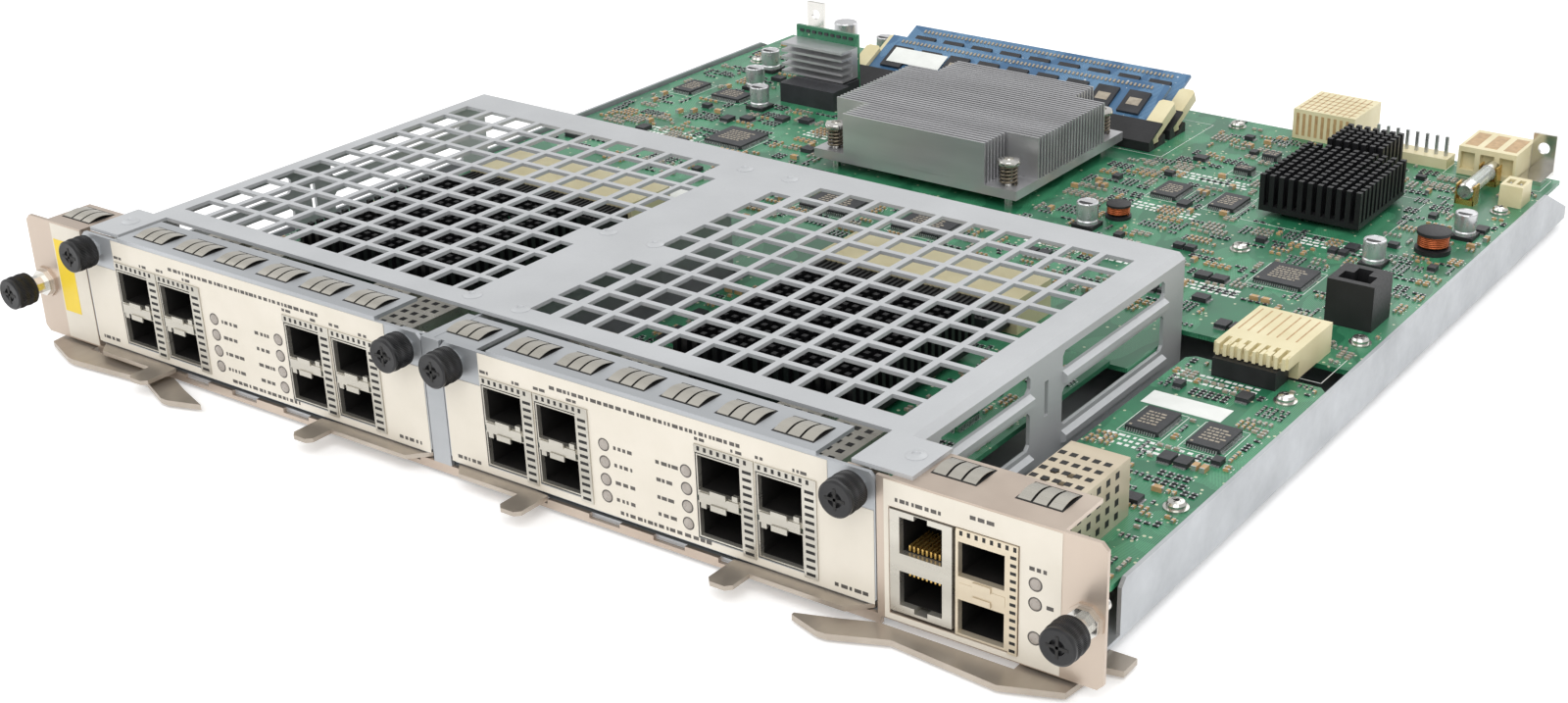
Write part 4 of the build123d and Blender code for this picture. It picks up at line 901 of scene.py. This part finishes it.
class RoundParts(bpy.types.Operator):
    """Replace the plain cans and drums by capacitors with crimped cans and by wound coils."""

    bl_idname = "module.round_parts"
    bl_label = "Capacitors and coils"

    def execute(self, context):
        centres = [(x, y, BOARD_TOP) for x, y in CANS]
        sleeve = "can", "chassis", "can_sleeve"
        add_lathe("can_capacitors", CAN, centres, "Z", 28, *sleeve, ["electrolytic_capacitors"])
        x, y = np.array(CANS).T
        bases = centred(x, y, BOARD_TOP, 8.3, 8.3, 1.4)
        marks = centred(x, y - 2.0, BOARD_TOP + 9.31, 5.0, 2.4, 0.06)
        add_boxes("can_bases", bases, "black", "chassis")
        add_boxes("can_marks", marks, "black", "chassis")
        add_lathe("tall_can", TALL, [(*TALL_CAN, BOARD_TOP)], "Z", 32, *sleeve)
        for index, (x, y, radius, top) in enumerate(COILS):
            height = top - BOARD_TOP
            drum = [[radius * 1.05, 0], [radius * 1.05, height * 0.2], [radius * 0.6, height * 0.26]]
            drum += [[radius * 0.6, height * 0.8], [radius, height * 0.84], [radius, height * 0.97]]
            drum += [[radius * 0.9, height], [0.1, height]]
            centre = [(x, y, BOARD_TOP)]
            ferrite = "black", "chassis", "dark_ferrite", ["inductors"]
            add_lathe(f"coil_drum_{index}", drum, centre, "Z", 32, *ferrite)
            turns = int(height * 0.55 / 0.7)
            low, high = height * 0.3, height * 0.8
            wire = helix_arrays(centre, radius * 0.86, 0.38, low, high, turns, steps=28)
            add_piece(f"coil_wire_{index}", wire, "copper", "chassis", smooth=True)
        return {"FINISHED"}


BIG_SINK = ((308.5, 347.0, 278.5, 321.0), (17.4, 19.4, 31.0), (11, 12), 1.9)
SMALL_SINK = ((314.0, 336.0, 325.0, 346.0), (17.4, 19.4, 32.0), (7, 6), 1.9)
PIN_SINKS = [
    ("big_pin_sink", "pin_fin_heatsink", "chassis", *BIG_SINK),
    ("small_pin_sink", "small_pin_fin_heatsink", "chassis", *SMALL_SINK),
]
for module_name, module_left in MODULES.items():
    sink_plan = (module_left + 43.0, module_left + 107.0, 50.0, 114.0)
    names = (f"{module_name}_pin_sink", f"{module_name}_module_heatsink", f"{module_name}_module")
    PIN_SINKS.append((*names, sink_plan, (20.6, 23.6, 35.0), (18, 18), 1.7))
SINK_PLAN = (144.0, 233.4, 234.5, 315.0)
SINK_LEVELS = (19.0, 22.5, 38.4)
SINK_FINS = 37
SINK_FIN = 0.75
SINK_CORNER = 13.5


class HeatsinkFins(bpy.types.Operator):
    """Replace the coarse combs by fields of fine pins, and the processor's comb by one of thin fins."""

    bl_idname = "module.heatsink_fins"
    bl_label = "Pins and fins"

    def execute(self, context):
        for name, node, body, plan, levels, counts, side in PIN_SINKS:
            left, right, front, back = plan
            x = np.linspace(left + side / 2, right - side / 2, counts[0])
            y = np.linspace(front + side / 2, back - side / 2, counts[1])
            x, y = (grid.ravel() for grid in np.meshgrid(x, y))
            pins = centred(x, y, levels[1] - 0.05, side, side, levels[2] - levels[1] + 0.05)
            base = [[left, front, levels[0], right, back, levels[1]]]
            add_boxes(name, np.concatenate([base, pins]), "black_fins", body, "black_fins", [node])
        left, right, front, back = SINK_PLAN
        y = np.linspace(front, back - SINK_FIN, SINK_FINS)
        corner = (y < front + SINK_CORNER) | (y + SINK_FIN > back - SINK_CORNER)
        inset = np.where(corner, SINK_CORNER, 0.0)
        foot, top = SINK_LEVELS[1] - 0.05 + 0 * y, SINK_LEVELS[2] + 0 * y
        rows = [left + inset, y, foot, right - inset, y + SINK_FIN, top]
        base = [[left, front, SINK_LEVELS[0], right, back, SINK_LEVELS[1]]]
        comb = np.concatenate([base, np.stack(rows, -1)])
        add_boxes("processor_comb", comb, "aluminium", "chassis", "bare_aluminium", ["cpu_heatsink"])
        return {"FINISHED"}


BOARD_SCREWS = [(383.2, 194.0), (317.5, 245.0), (381.0, 329.0), (43.4, 331.5), (259.0, 365.0)]
BOARD_SCREWS += [(381.0, 143.0), (383.6, 67.5), (348.0, 75.0)]
PAN_HEAD = [[1.35, -6.0], [1.35, -0.05], [3.6, -0.02], [3.6, 0.5], [2.8, 0.6]]
PAN_HEAD += [[2.8, 1.5], [2.3, 2.2], [0.9, 2.5], [0.7, 2.0], [0.1, 2.0]]
COVER_RIVETS = [(x, y) for x in (171.0, 190.0) for y in (27.0, 87.5, 158.0)] + [(37.0, 11.9), (337.5, 11.9)]


class SmallFasteners(bpy.types.Operator):
    """Replace the plain board screws by pan heads on washers, and add the cover's rivets."""

    bl_idname = "module.small_fasteners"
    bl_label = "Screws and rivets"

    def execute(self, context):
        centres = [(x, y, BOARD_TOP) for x, y in BOARD_SCREWS]
        steel = "chrome", "chassis", "bright_steel", ["board_screws"]
        add_lathe("pan_head_screws", PAN_HEAD, centres, "Z", 28, *steel)
        plan, slots = np.array(BOARD_SCREWS).T, ((2.6, 0.5), (0.5, 2.6))
        # The cross recesses are painted shade: thin near-black boxes on the heads.
        arms = [centred(*plan, BOARD_TOP + 2.3, *size, 0.16) for size in slots]
        add_boxes("screw_crosses", np.concatenate(arms), "dark", "chassis")
        ring = [[2.9, -0.02], [2.9, 0.12], [2.2, 0.55], [1.2, 0.7], [1.0, 0.35], [0.1, 0.3]]
        centres = [(x, y, COVER_TOP) for x, y in COVER_RIVETS]
        add_lathe("cover_rivets", ring, centres, "Z", 24, "cover", "chassis", "zinc_sheet")
        return {"FINISHED"}


CHIPS = [
    (188.7, 274.7, 46.0, 46.0, 1.2), (271.5, 283.0, 10.0, 15.0, 1.6), (295.0, 283.0, 10.0, 15.0, 1.6),
    (342.0, 230.0, 17.0, 17.0, 1.6), (100.0, 243.0, 18.0, 18.0, 1.6), (65.0, 285.0, 14.0, 10.0, 1.6),
    (44.0, 285.0, 9.0, 14.0, 1.6), (175.0, 206.0, 20.0, 20.0, 1.6), (215.0, 206.0, 20.0, 20.0, 1.6),
    (355.0, 109.0, 10.5, 15.0, 1.6), (374.5, 109.0, 10.5, 15.0, 1.6), (285.0, 317.0, 7.0, 5.0, 2.4),
    (287.0, 337.0, 6.0, 5.0, 2.4),
]
MODULE_CHIPS = [(124.0, 74.0, 12.0, 12.0, 2.4), (26.0, 74.0, 12.0, 12.0, 2.4)]
LEAD_REACH = 1.1
BOARD_FRAMES = [(301.0, 355.0, 272.0, 326.0), (355.0, 385.0, 160.0, 186.0)]
BOARD_FRAMES += [(348.0, 386.0, 358.0, 372.0), (88.0, 250.0, 316.0, 362.0)]


def lead_rows(chips, pitch, board):
    """Leads on the four sides of each chip: flat feet spaced by the pitch, and shoulders at its sides."""
    rows = []
    for x, y, width, depth, height in chips:
        across = np.arange(-width / 2 + 0.8, width / 2 - 0.6, pitch)
        along = np.arange(-depth / 2 + 0.8, depth / 2 - 0.6, pitch)
        foot, leg = LEAD_REACH, height * 0.55
        for end in (-1, 1):
            edge = end * (depth / 2 + foot / 2)
            rows.append(centred(x + across, y + edge, board, pitch * 0.45, foot, 0.18))
            rows.append(centred(x + across, y + end * (depth / 2 + 0.2), board, pitch * 0.45, 0.4, leg))
            edge = end * (width / 2 + foot / 2)
            rows.append(centred(x + edge, y + along, board, foot, pitch * 0.45, 0.18))
            rows.append(centred(x + end * (width / 2 + 0.2), y + along, board, 0.4, pitch * 0.45, leg))
    return np.concatenate(rows)


def outline_rows(plans, board, line=0.22):
    """Thin printed frames round plans of left, right, front and back."""
    rows, top = [], board + PRINT
    for left, right, front, back in plans:
        rows.append([left, front, board, right, front + line, top])
        rows.append([left, back - line, board, right, back, top])
        rows.append([left, front, board, left + line, back, top])
        rows.append([right - line, front, board, right, back, top])
    return np.array(rows)


def plans_round(chips, margin):
    """The plan of left, right, front and back round each chip, with a margin."""
    return [
        (x - w / 2 - margin, x + w / 2 + margin, y - d / 2 - margin, y + d / 2 + margin)
        for x, y, w, d, _ in chips
    ]


def chip_marks(random, chips, board):
    """Faint rows of marks and a corner dot on each package."""
    rows = []
    for x, y, width, depth, height in chips:
        top = board + height
        for line in np.arange(-depth * 0.25, depth * 0.3, 1.8):
            cursor = x - width * 0.32
            while cursor < x + width * 0.25:
                length = random.uniform(0.5, 1.8)
                rows.append([cursor, y + line, top, cursor + length, y + line + 0.8, top + PRINT])
                cursor += length + 0.4
        left, front = x - width / 2, y - depth / 2
        rows.append([left + 0.8, front + 0.8, top, left + 1.6, front + 1.6, top + PRINT])
    return np.array(rows)


class ChipDetails(bpy.types.Operator):
    """Add leads, marks and printed frames to the chips of every board."""

    bl_idname = "module.chip_details"
    bl_label = "Chip leads and marks"

    def execute(self, context):
        random = np.random.default_rng(3)
        pitch = context.scene.module_detail.lead_pitch
        leads = lead_rows(CHIPS[1:], pitch, BOARD_TOP)
        add_boxes("chip_leads", leads, "tin", "chassis", "bright_steel")
        add_boxes("chip_marks", chip_marks(random, CHIPS[1:], BOARD_TOP), "grey_part", "chassis")
        plans = plans_round(CHIPS, 1.9) + BOARD_FRAMES
        add_boxes("board_frames", outline_rows(plans, BOARD_TOP), "white", "chassis")
        for module, left in MODULES.items():
            chips = [(left + x, *rest) for x, *rest in MODULE_CHIPS]
            leads = lead_rows(chips, pitch, MODULE_BOARD_TOP)
            add_boxes(f"{module}_module_leads", leads, "tin", f"{module}_module", "bright_steel")
            caps = [centred(x, y, MODULE_BOARD_TOP + h, w, d, 0.05) for x, y, w, d, h in chips]
            add_boxes(f"{module}_module_chip_tops", np.concatenate(caps), "chip", f"{module}_module")
        return {"FINISHED"}


CELL = 0.5


class PlacementMap:
    """Half-millimetre cells of a board, taken where a part or a kept-free area lies."""

    def __init__(self, left, right, front, back):
        self.corner = np.array([left, front])
        self.taken = np.zeros((int((right - left) / CELL), int((back - front) / CELL)), bool)

    def cells(self, left, right, front, back):
        """The slices of cells that a plan covers."""
        low = np.floor((np.array([left, front]) - self.corner) / CELL).astype(int)
        high = np.ceil((np.array([right, back]) - self.corner) / CELL).astype(int)
        return low, high

    def block(self, left, right, front, back):
        """Takes an area."""
        low, high = self.cells(left, right, front, back)
        low = np.maximum(low, 0)
        self.taken[low[0] : max(high[0], 0), low[1] : max(high[1], 0)] = True

    def claim(self, left, right, front, back):
        """Takes an area if it is free and on the board, and says whether it was."""
        low, high = self.cells(left, right, front, back)
        if (low < 0).any() or (high > self.taken.shape).any():
            return False
        area = self.taken[low[0] : high[0], low[1] : high[1]]
        if area.any():
            return False
        area[:] = True
        return True


PART_KINDS = [
    (1.7, 0.9, 0.5, "chip"),
    (1.7, 0.9, 0.8, "tan_part"),
    (1.7, 0.9, 0.8, "grey_part"),
    (3.2, 1.7, 1.5, "tan_part"),
    (3.6, 2.9, 1.7, "chip"),
    (5.2, 4.2, 1.6, "chip"),
]
KIND_SHARES = (0.34, 0.24, 0.2, 0.09, 0.06, 0.07)


def scatter(random, board, tries):
    """Rows and small grids of like parts: each group picks a kind, a turn and a count, and lays its
    parts side by side where the board is free."""
    parts = []
    for _ in range(tries // 6):
        kind = random.choice(len(PART_KINDS), p=KIND_SHARES)
        width, depth, height, finish = PART_KINDS[kind]
        if random.random() < 0.5:
            width, depth = depth, width
        if kind < 3:
            columns, rows = random.integers(1, 6), random.integers(1, 4)
        else:
            columns, rows = random.integers(1, 3), 1
        spot = board.corner + random.random(2) * np.array(board.taken.shape) * CELL
        for column in range(columns):
            for row in range(rows):
                x = spot[0] + column * (width + 0.9)
                y = spot[1] + row * (depth + 0.9)
                half_x, half_y = width / 2 + 0.2, depth / 2 + 0.2
                if board.claim(x - half_x, x + half_x, y - half_y, y + half_y):
                    parts.append((x, y, width, depth, height, finish))
    return parts


def add_parts(random, name, parts, level, body):
    """Bodies by finish, tinned ends or legs, and two printed marks beside some of them."""
    ends, marks = [], []
    for finish in ("chip", "tan_part", "grey_part"):
        rows = np.array([p[:5] for p in parts if p[5] == finish])
        x, y, width, depth, height = rows.T
        add_boxes(f"{name}_{finish}", centred(x, y, level, width, depth, height), finish, body)
        wide = width >= depth
        for end in (-1, 1):
            small = np.minimum(width, depth) < 2
            reach = np.where(small, 0.0, 0.45)
            px = np.where(wide, x + end * (width / 2 - 0.15 + reach), x)
            py = np.where(wide, y, y + end * (depth / 2 - 0.15 + reach))
            pw = np.where(wide, 0.45 + reach, width * 0.9 + 0.04 * small)
            pd = np.where(wide, depth * 0.9 + 0.04 * small, 0.45 + reach)
            ends.append(centred(px, py, level, pw, pd, np.where(small, height + 0.02, 0.4)))
        keep = random.random(len(x)) < 0.35
        marks.append(centred(x[keep] + width[keep] / 2 + 0.6, y[keep], level, 0.25, 0.9, PRINT))
        marks.append(centred(x[keep], y[keep] + depth[keep] / 2 + 0.6, level, 1.5, 0.25, PRINT))
    add_boxes(f"{name}_ends", np.concatenate(ends), "tin", body, "bright_steel")
    add_boxes(f"{name}_marks", np.concatenate(marks), "white", body)


KEPT_FREE = [
    (30, 336, 130, 172.5), (84, 256, 315, 374), (76, 115, 288, 320), (142, 236, 232, 318),
    (305, 350, 275, 324), (311, 339, 322, 349), (280, 312, 363, 376), (350, 378, 358, 376),
    (314, 350, 360, 373), (376, 388, 335, 349), (362, 373, 327, 362), (36, 47, 362, 376),
    (375, 386, 362, 376), (365, 385, 201, 220), (352, 380, 157, 185), (28, 145, 172, 196),
    (366, 382, 272, 288), (262, 273, 244, 256), (73, 86, 342, 354),
]
KEPT_FREE += [(x - 5, x + 5, y - 5, y + 5) for x, y in CANS + BOARD_SCREWS]
PORT_FREE = [(336, 358, 18, 34), (356, 376, 18, 60), (352, 378, 145, 160), (340, 373, 118, 131)]


class BoardParts(bpy.types.Operator):
    """Scatter the small soldered parts over the boards, clear of everything that stands there."""

    bl_idname = "module.board_parts"
    bl_label = "Board parts"

    def execute(self, context):
        tries = context.scene.module_detail.board_parts
        random = np.random.default_rng(23)
        chips = plans_round(CHIPS, 2)
        board = PlacementMap(32.0, 387.5, 174.0, 373.0)
        for plan in KEPT_FREE + chips:
            board.block(*plan)
        add_parts(random, "processor_board_parts", scatter(random, board, tries * 2), BOARD_TOP, "chassis")
        ports = PlacementMap(343.0, 387.5, 21.0, 156.0)
        for plan in PORT_FREE + chips + KEPT_FREE:
            ports.block(*plan)
        add_parts(random, "port_board_parts", scatter(random, ports, tries // 4), BOARD_TOP, "chassis")
        for module, left in MODULES.items():
            field = PlacementMap(left + 11.0, left + 142.0, 50.0, 125.0)
            field.block(left + 41, left + 109, 48, 116)
            for plan in plans_round([(left + x, *rest) for x, *rest in MODULE_CHIPS], 2):
                field.block(*plan)
            parts = scatter(random, field, tries // 3)
            add_parts(random, f"{module}_module_parts", parts, MODULE_BOARD_TOP, f"{module}_module")
        return {"FINISHED"}


LABELS = [
    [60.0, 176.0, 128.0, 192.0],
    [345.0, 120.0, 371.0, 129.0],
    [38.0, 176.5, 54.0, 190.0],
]
BOARD_ROWS = [(250, 212, 40), (300, 205, 34), (262, 262, 28), (330, 262, 24), (118, 262, 20)]
BOARD_ROWS += [(60, 232, 26), (345, 140, 26), (262, 300, 30), (346, 92, 30)]


class BoardPrint(bpy.types.Operator):
    """Add the plain white films and the rows of printed marks."""

    bl_idname = "module.board_print"
    bl_label = "Board print"

    def execute(self, context):
        random = np.random.default_rng(31)
        films = [[x0, y0, BOARD_TOP, x1, y1, BOARD_TOP + 0.1] for x0, y0, x1, y1 in LABELS]
        add_boxes("plain_board_films", films, "white", "chassis")
        rows = []
        for x, y, length in BOARD_ROWS:
            for line in range(3):
                front = y + line * 2.6
                for low, high in stretches(random, x, length, (0.7, 2.4), (0.4, 1.2)):
                    rows.append([low, front, BOARD_TOP, high, front + 1.3, BOARD_TOP + PRINT])
        add_boxes("board_print_rows", rows, "white", "chassis")
        return {"FINISHED"}


DIMM_FOOT = (323.0, 17.6)
DIMM_SLOPE = math.radians(25.0)
DIMM_STEP = 17.5
DIMM_CENTRE = 168.5
DIMM_CHIPS = 14.2 * (np.arange(9) - 4)


def lean(row, boxes):
    """Box corners on a memory module's own axes, carried to the board: across stays X, up goes along
    (cos s, sin s) in depth and height, and out goes along (-sin s, cos s), for the slope s."""
    points, faces = box_arrays(boxes)
    cos, sin = math.cos(DIMM_SLOPE), math.sin(DIMM_SLOPE)
    across, up, out = points.T
    depth = DIMM_FOOT[0] + row * DIMM_STEP + up * cos - out * sin
    height = DIMM_FOOT[1] + up * sin + out * cos
    return np.stack([DIMM_CENTRE + across, depth, height], -1), faces


class MemoryDetails(bpy.types.Operator):
    """Add the black packages, small parts, gold edge and label of the memory modules."""

    bl_idname = "module.memory_details"
    bl_label = "Memory modules"

    def execute(self, context):
        half, gold_low = 0.65, 0.8
        for row, name in enumerate(("front", "rear")):
            middle = gold_low + 15.5 + 2.0
            pieces = {
                "packages": (centred(DIMM_CHIPS, middle, half, 9.7, 12.7, 1.16), "chip"),
                "package_marks": (centred(DIMM_CHIPS, middle, half + 1.16, 5.6, 4.2, PRINT), "grey_part"),
                "small_parts": (centred(np.arange(-60, 61, 2.4), 7.6, half, 1.6, 0.8, 0.6), "tan_part"),
                "resistors": (centred(np.arange(-60, 61, 1.9), 28.6, half, 0.8, 1.6, 0.5), "grey_part"),
                "gold_edge": (centred(np.arange(-64, 64.1, 1.0), 3.3, half, 0.7, 4.8, 0.04), "gold"),
            }
            for label, (rows, finish) in pieces.items():
                add_piece(f"{name}_memory_{label}", lean(row, rows), finish, "chassis")
        film = lean(0, [[-60, 14.5, 1.84, -34, 23.5, 1.9]])
        add_piece("memory_film", film, "white", "chassis")
        return {"FINISHED"}


FUSE_X = 367.0
FUSE_AXIS = [(FUSE_X, 0, 20.2)]
FUSE_TUBE = [[2.7, 334.0], [2.9, 334.2], [2.9, 353.8], [2.7, 354.0]]
FUSE_WIRE = [[0.25, 334.0], [0.25, 354.0]]
FUSE_CAPS = {
    "front": [[2.4, 329.0], [3.1, 329.5], [3.1, 335.0], [2.9, 335.1]],
    "rear": [[2.9, 352.9], [3.1, 353.0], [3.1, 358.5], [2.4, 359.0]],
}
FUSE_CLIPS = (332.0, 356.0)


class ConnectorDetails(bpy.types.Operator):
    """Add slots, blades, pins and teeth to the connectors, and clear parts to the fuse."""

    bl_idname = "module.connector_details"
    bl_label = "Connectors"

    def execute(self, context):
        # The slots, grooves and cavities are painted shade: thin strips and patches of the darker tan finish
        # on the connectors.
        x = np.arange(284.6, 307.5, 2.6)
        lines = centred(x, 378.5, 27.0, 0.5, 24.0, 0.05)
        across = centred(295.5, np.arange(369.0, 390.0, 4.2), 27.0, 24.0, 0.5, 0.05)
        marks = [lines, across, centred(x, 365.45, 16.5, 1.2, 0.1, 9.0)]
        marks.append(centred(np.arange(355.5, 377.0, 3.2)[:7], 172.0, 25.0, 0.5, 18.0, 0.05))
        marks.append(centred(np.array([356.2, 363.7, 371.2]), 372.0, 26.0, 5.0, 16.0, 0.05))
        add_boxes("connector_lines", np.concatenate(marks), "tan_part", "chassis")
        teeth = centred(np.arange(355.2, 377.0, 2.4), 151.0, 21.4, 1.1, 3.6, 3.8)
        add_boxes("receptacle_teeth", teeth, "ivory", "chassis", "cream_plastic")
        pins = centred(332.0 + 3.96 * (np.arange(8) - 3.5), 366.5, 19.0, 1.2, 1.2, 7.6)
        header_pins = centred(np.arange(356.0, 375.0, PIN_PITCH), 152.0, 17.0, 0.4, 6.0, 0.4)
        pair = centred(np.array([379.9, 383.7]), 341.7, 17.5, 0.7, 0.7, 5.0)
        metal = np.concatenate([pins, header_pins, pair])
        add_boxes("connector_pins", metal, "tin", "chassis", "bright_steel")
        add_lathe("fuse_tube", FUSE_TUBE, FUSE_AXIS, "Y", 24, "glass", "chassis", "fuse_glass", ["fuse"])
        for name, rows in FUSE_CAPS.items():
            add_lathe(f"fuse_{name}_cap", rows, FUSE_AXIS, "Y", 24, "chrome", "chassis")
        clip_x, clip_y = np.array([363.6, 370.4] * 2), np.repeat(FUSE_CLIPS, 2)
        clips = centred(clip_x, clip_y, BOARD_TOP, 0.5, 5.0, 7.5)
        feet = centred(FUSE_X, np.array(FUSE_CLIPS), BOARD_TOP, 7.0, 5.0, 2.0)
        add_boxes("fuse_clips", np.concatenate([clips, feet]), "gold", "chassis", "bright_steel")
        add_lathe("fuse_wire", FUSE_WIRE, FUSE_AXIS, "Y", 8, "tin", "chassis")
        return {"FINISHED"}


VENT = 2.0
VENT_FRONT = 24.0
VENT_STEP = 5.0
DIVIDER_FLANGE = [176.8, 1.4, 39.3, 196.5, 19.0, 40.4]
CONVERTER_X = np.array([82.0, 88.0, 94.0, 100.0, 105.0])
CONVERTER_Z = np.array([36.0, 38.0, 36.5, 37.5, 36.0])


class InnerDetails(bpy.types.Operator):
    """Add what shows through the mesh and beside it: cage vents, plug ribs, the divider's flange and
    the small parts of the upright converter board."""

    bl_idname = "module.inner_details"
    bl_label = "Inner details"

    def execute(self, context):
        for module, left in MODULES.items():
            body = f"{module}_module"
            x, y = np.meshgrid([3.0, 7.0, 11.0], np.arange(8.0, 46.0, 4.5))
            columns = np.array(PORT_COLUMNS)[:, None] + left
            spots = (columns + x.ravel()).ravel(), np.tile(y.ravel(), len(PORT_COLUMNS))
            # The vents are painted shade: thin near-black squares on the cages.
            add_boxes(f"{body}_cage_vents", centred(*spots, 30.6, VENT, VENT, 0.05), "dark", body)
            ribs = centred(left + np.arange(34.0, 103.0, 2.0), 133.0, 25.0, 0.8, 12.0, 0.6)
            add_boxes(f"{body}_plug_ribs", ribs, "black", body)
            contacts = centred(left + np.arange(33.0, 103.5, 1.6), 144.6, 22.6, 0.8, 8.0, 0.05)
            add_boxes(f"{body}_plug_contacts", contacts, "gold", body)
        add_boxes("divider_flange", [DIVIDER_FLANGE], "zinc", "chassis", "zinc_sheet")
        add_fingers("divider_fingers", [(186.6, 11.0)], DIVIDER_FLANGE[-1], "chassis")
        parts = centred(CONVERTER_X, 317.2, CONVERTER_Z, 3.4, 0.9, 1.8)
        more = centred(np.arange(80.0, 106.0, 2.6), 317.1, 33.5, 1.6, 0.8, 1.0)
        front = centred(np.arange(80.0, 106.0, 3.1), 315.0, 38.5, 1.8, 0.5, 1.1)
        add_boxes("converter_parts", np.concatenate([parts, more, front]), "chip", "chassis")
        # The uplink cage's vents are painted shade: thin near-black squares on its top and side.
        depths = VENT_FRONT + VENT_STEP * np.arange(6)
        vents = [
            [x, y, 32.3, x + VENT, y + VENT, 32.36] for x in 357.3 + 3.4 * np.arange(5) for y in depths
        ]
        side = [
            [374.8, y, z, 374.86, y + VENT, z + VENT] for z in 17.0 + 4.0 * np.arange(4) for y in depths
        ]
        add_boxes("uplink_vents", vents, "dark", "chassis")
        add_boxes("uplink_side_vents", side, "dark", "chassis")
        return {"FINISHED"}


OPERATORS = (
    DressFrame,
    BuildStage,
    ModuleFaces,
    FlangeFingers,
    PanelFaces,
    Thumbscrews,
    HeatsinkSprings,
    RoundParts,
    HeatsinkFins,
    SmallFasteners,
    ChipDetails,
    BoardParts,
    BoardPrint,
    MemoryDetails,
    ConnectorDetails,
    InnerDetails,
)
PROPERTY_CLASSES = (StageSettings, DetailSettings)


class ModulePanel(bpy.types.Panel):
    """Lists the steps that dress the module."""

    bl_idname = "VIEW3D_PT_module_looks"
    bl_label = "Interface module"
    bl_space_type = "VIEW_3D"
    bl_region_type = "UI"
    bl_category = "Module"

    def draw(self, context):
        for operator in OPERATORS:
            self.layout.operator(operator.bl_idname)


def register():
    for kind in (*PROPERTY_CLASSES, *OPERATORS, ModulePanel):
        bpy.utils.register_class(kind)
    bpy.types.Scene.module_stage = bpy.props.PointerProperty(type=StageSettings)
    bpy.types.Scene.module_detail = bpy.props.PointerProperty(type=DetailSettings)


def unregister():
    del bpy.types.Scene.module_detail
    del bpy.types.Scene.module_stage
    for kind in reversed((*PROPERTY_CLASSES, *OPERATORS, ModulePanel)):
        bpy.utils.unregister_class(kind)


def main():
    """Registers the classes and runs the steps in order."""
    register()
    for operator in OPERATORS:
        group, step_name = operator.bl_idname.split(".")
        getattr(getattr(bpy.ops, group), step_name)()
    boxes = {"cad": CAD_BOX, "visual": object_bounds()}
    plain = {name: [[float(v) for v in corner] for corner in box] for name, box in boxes.items()}


if __name__ == "__main__":
    main()
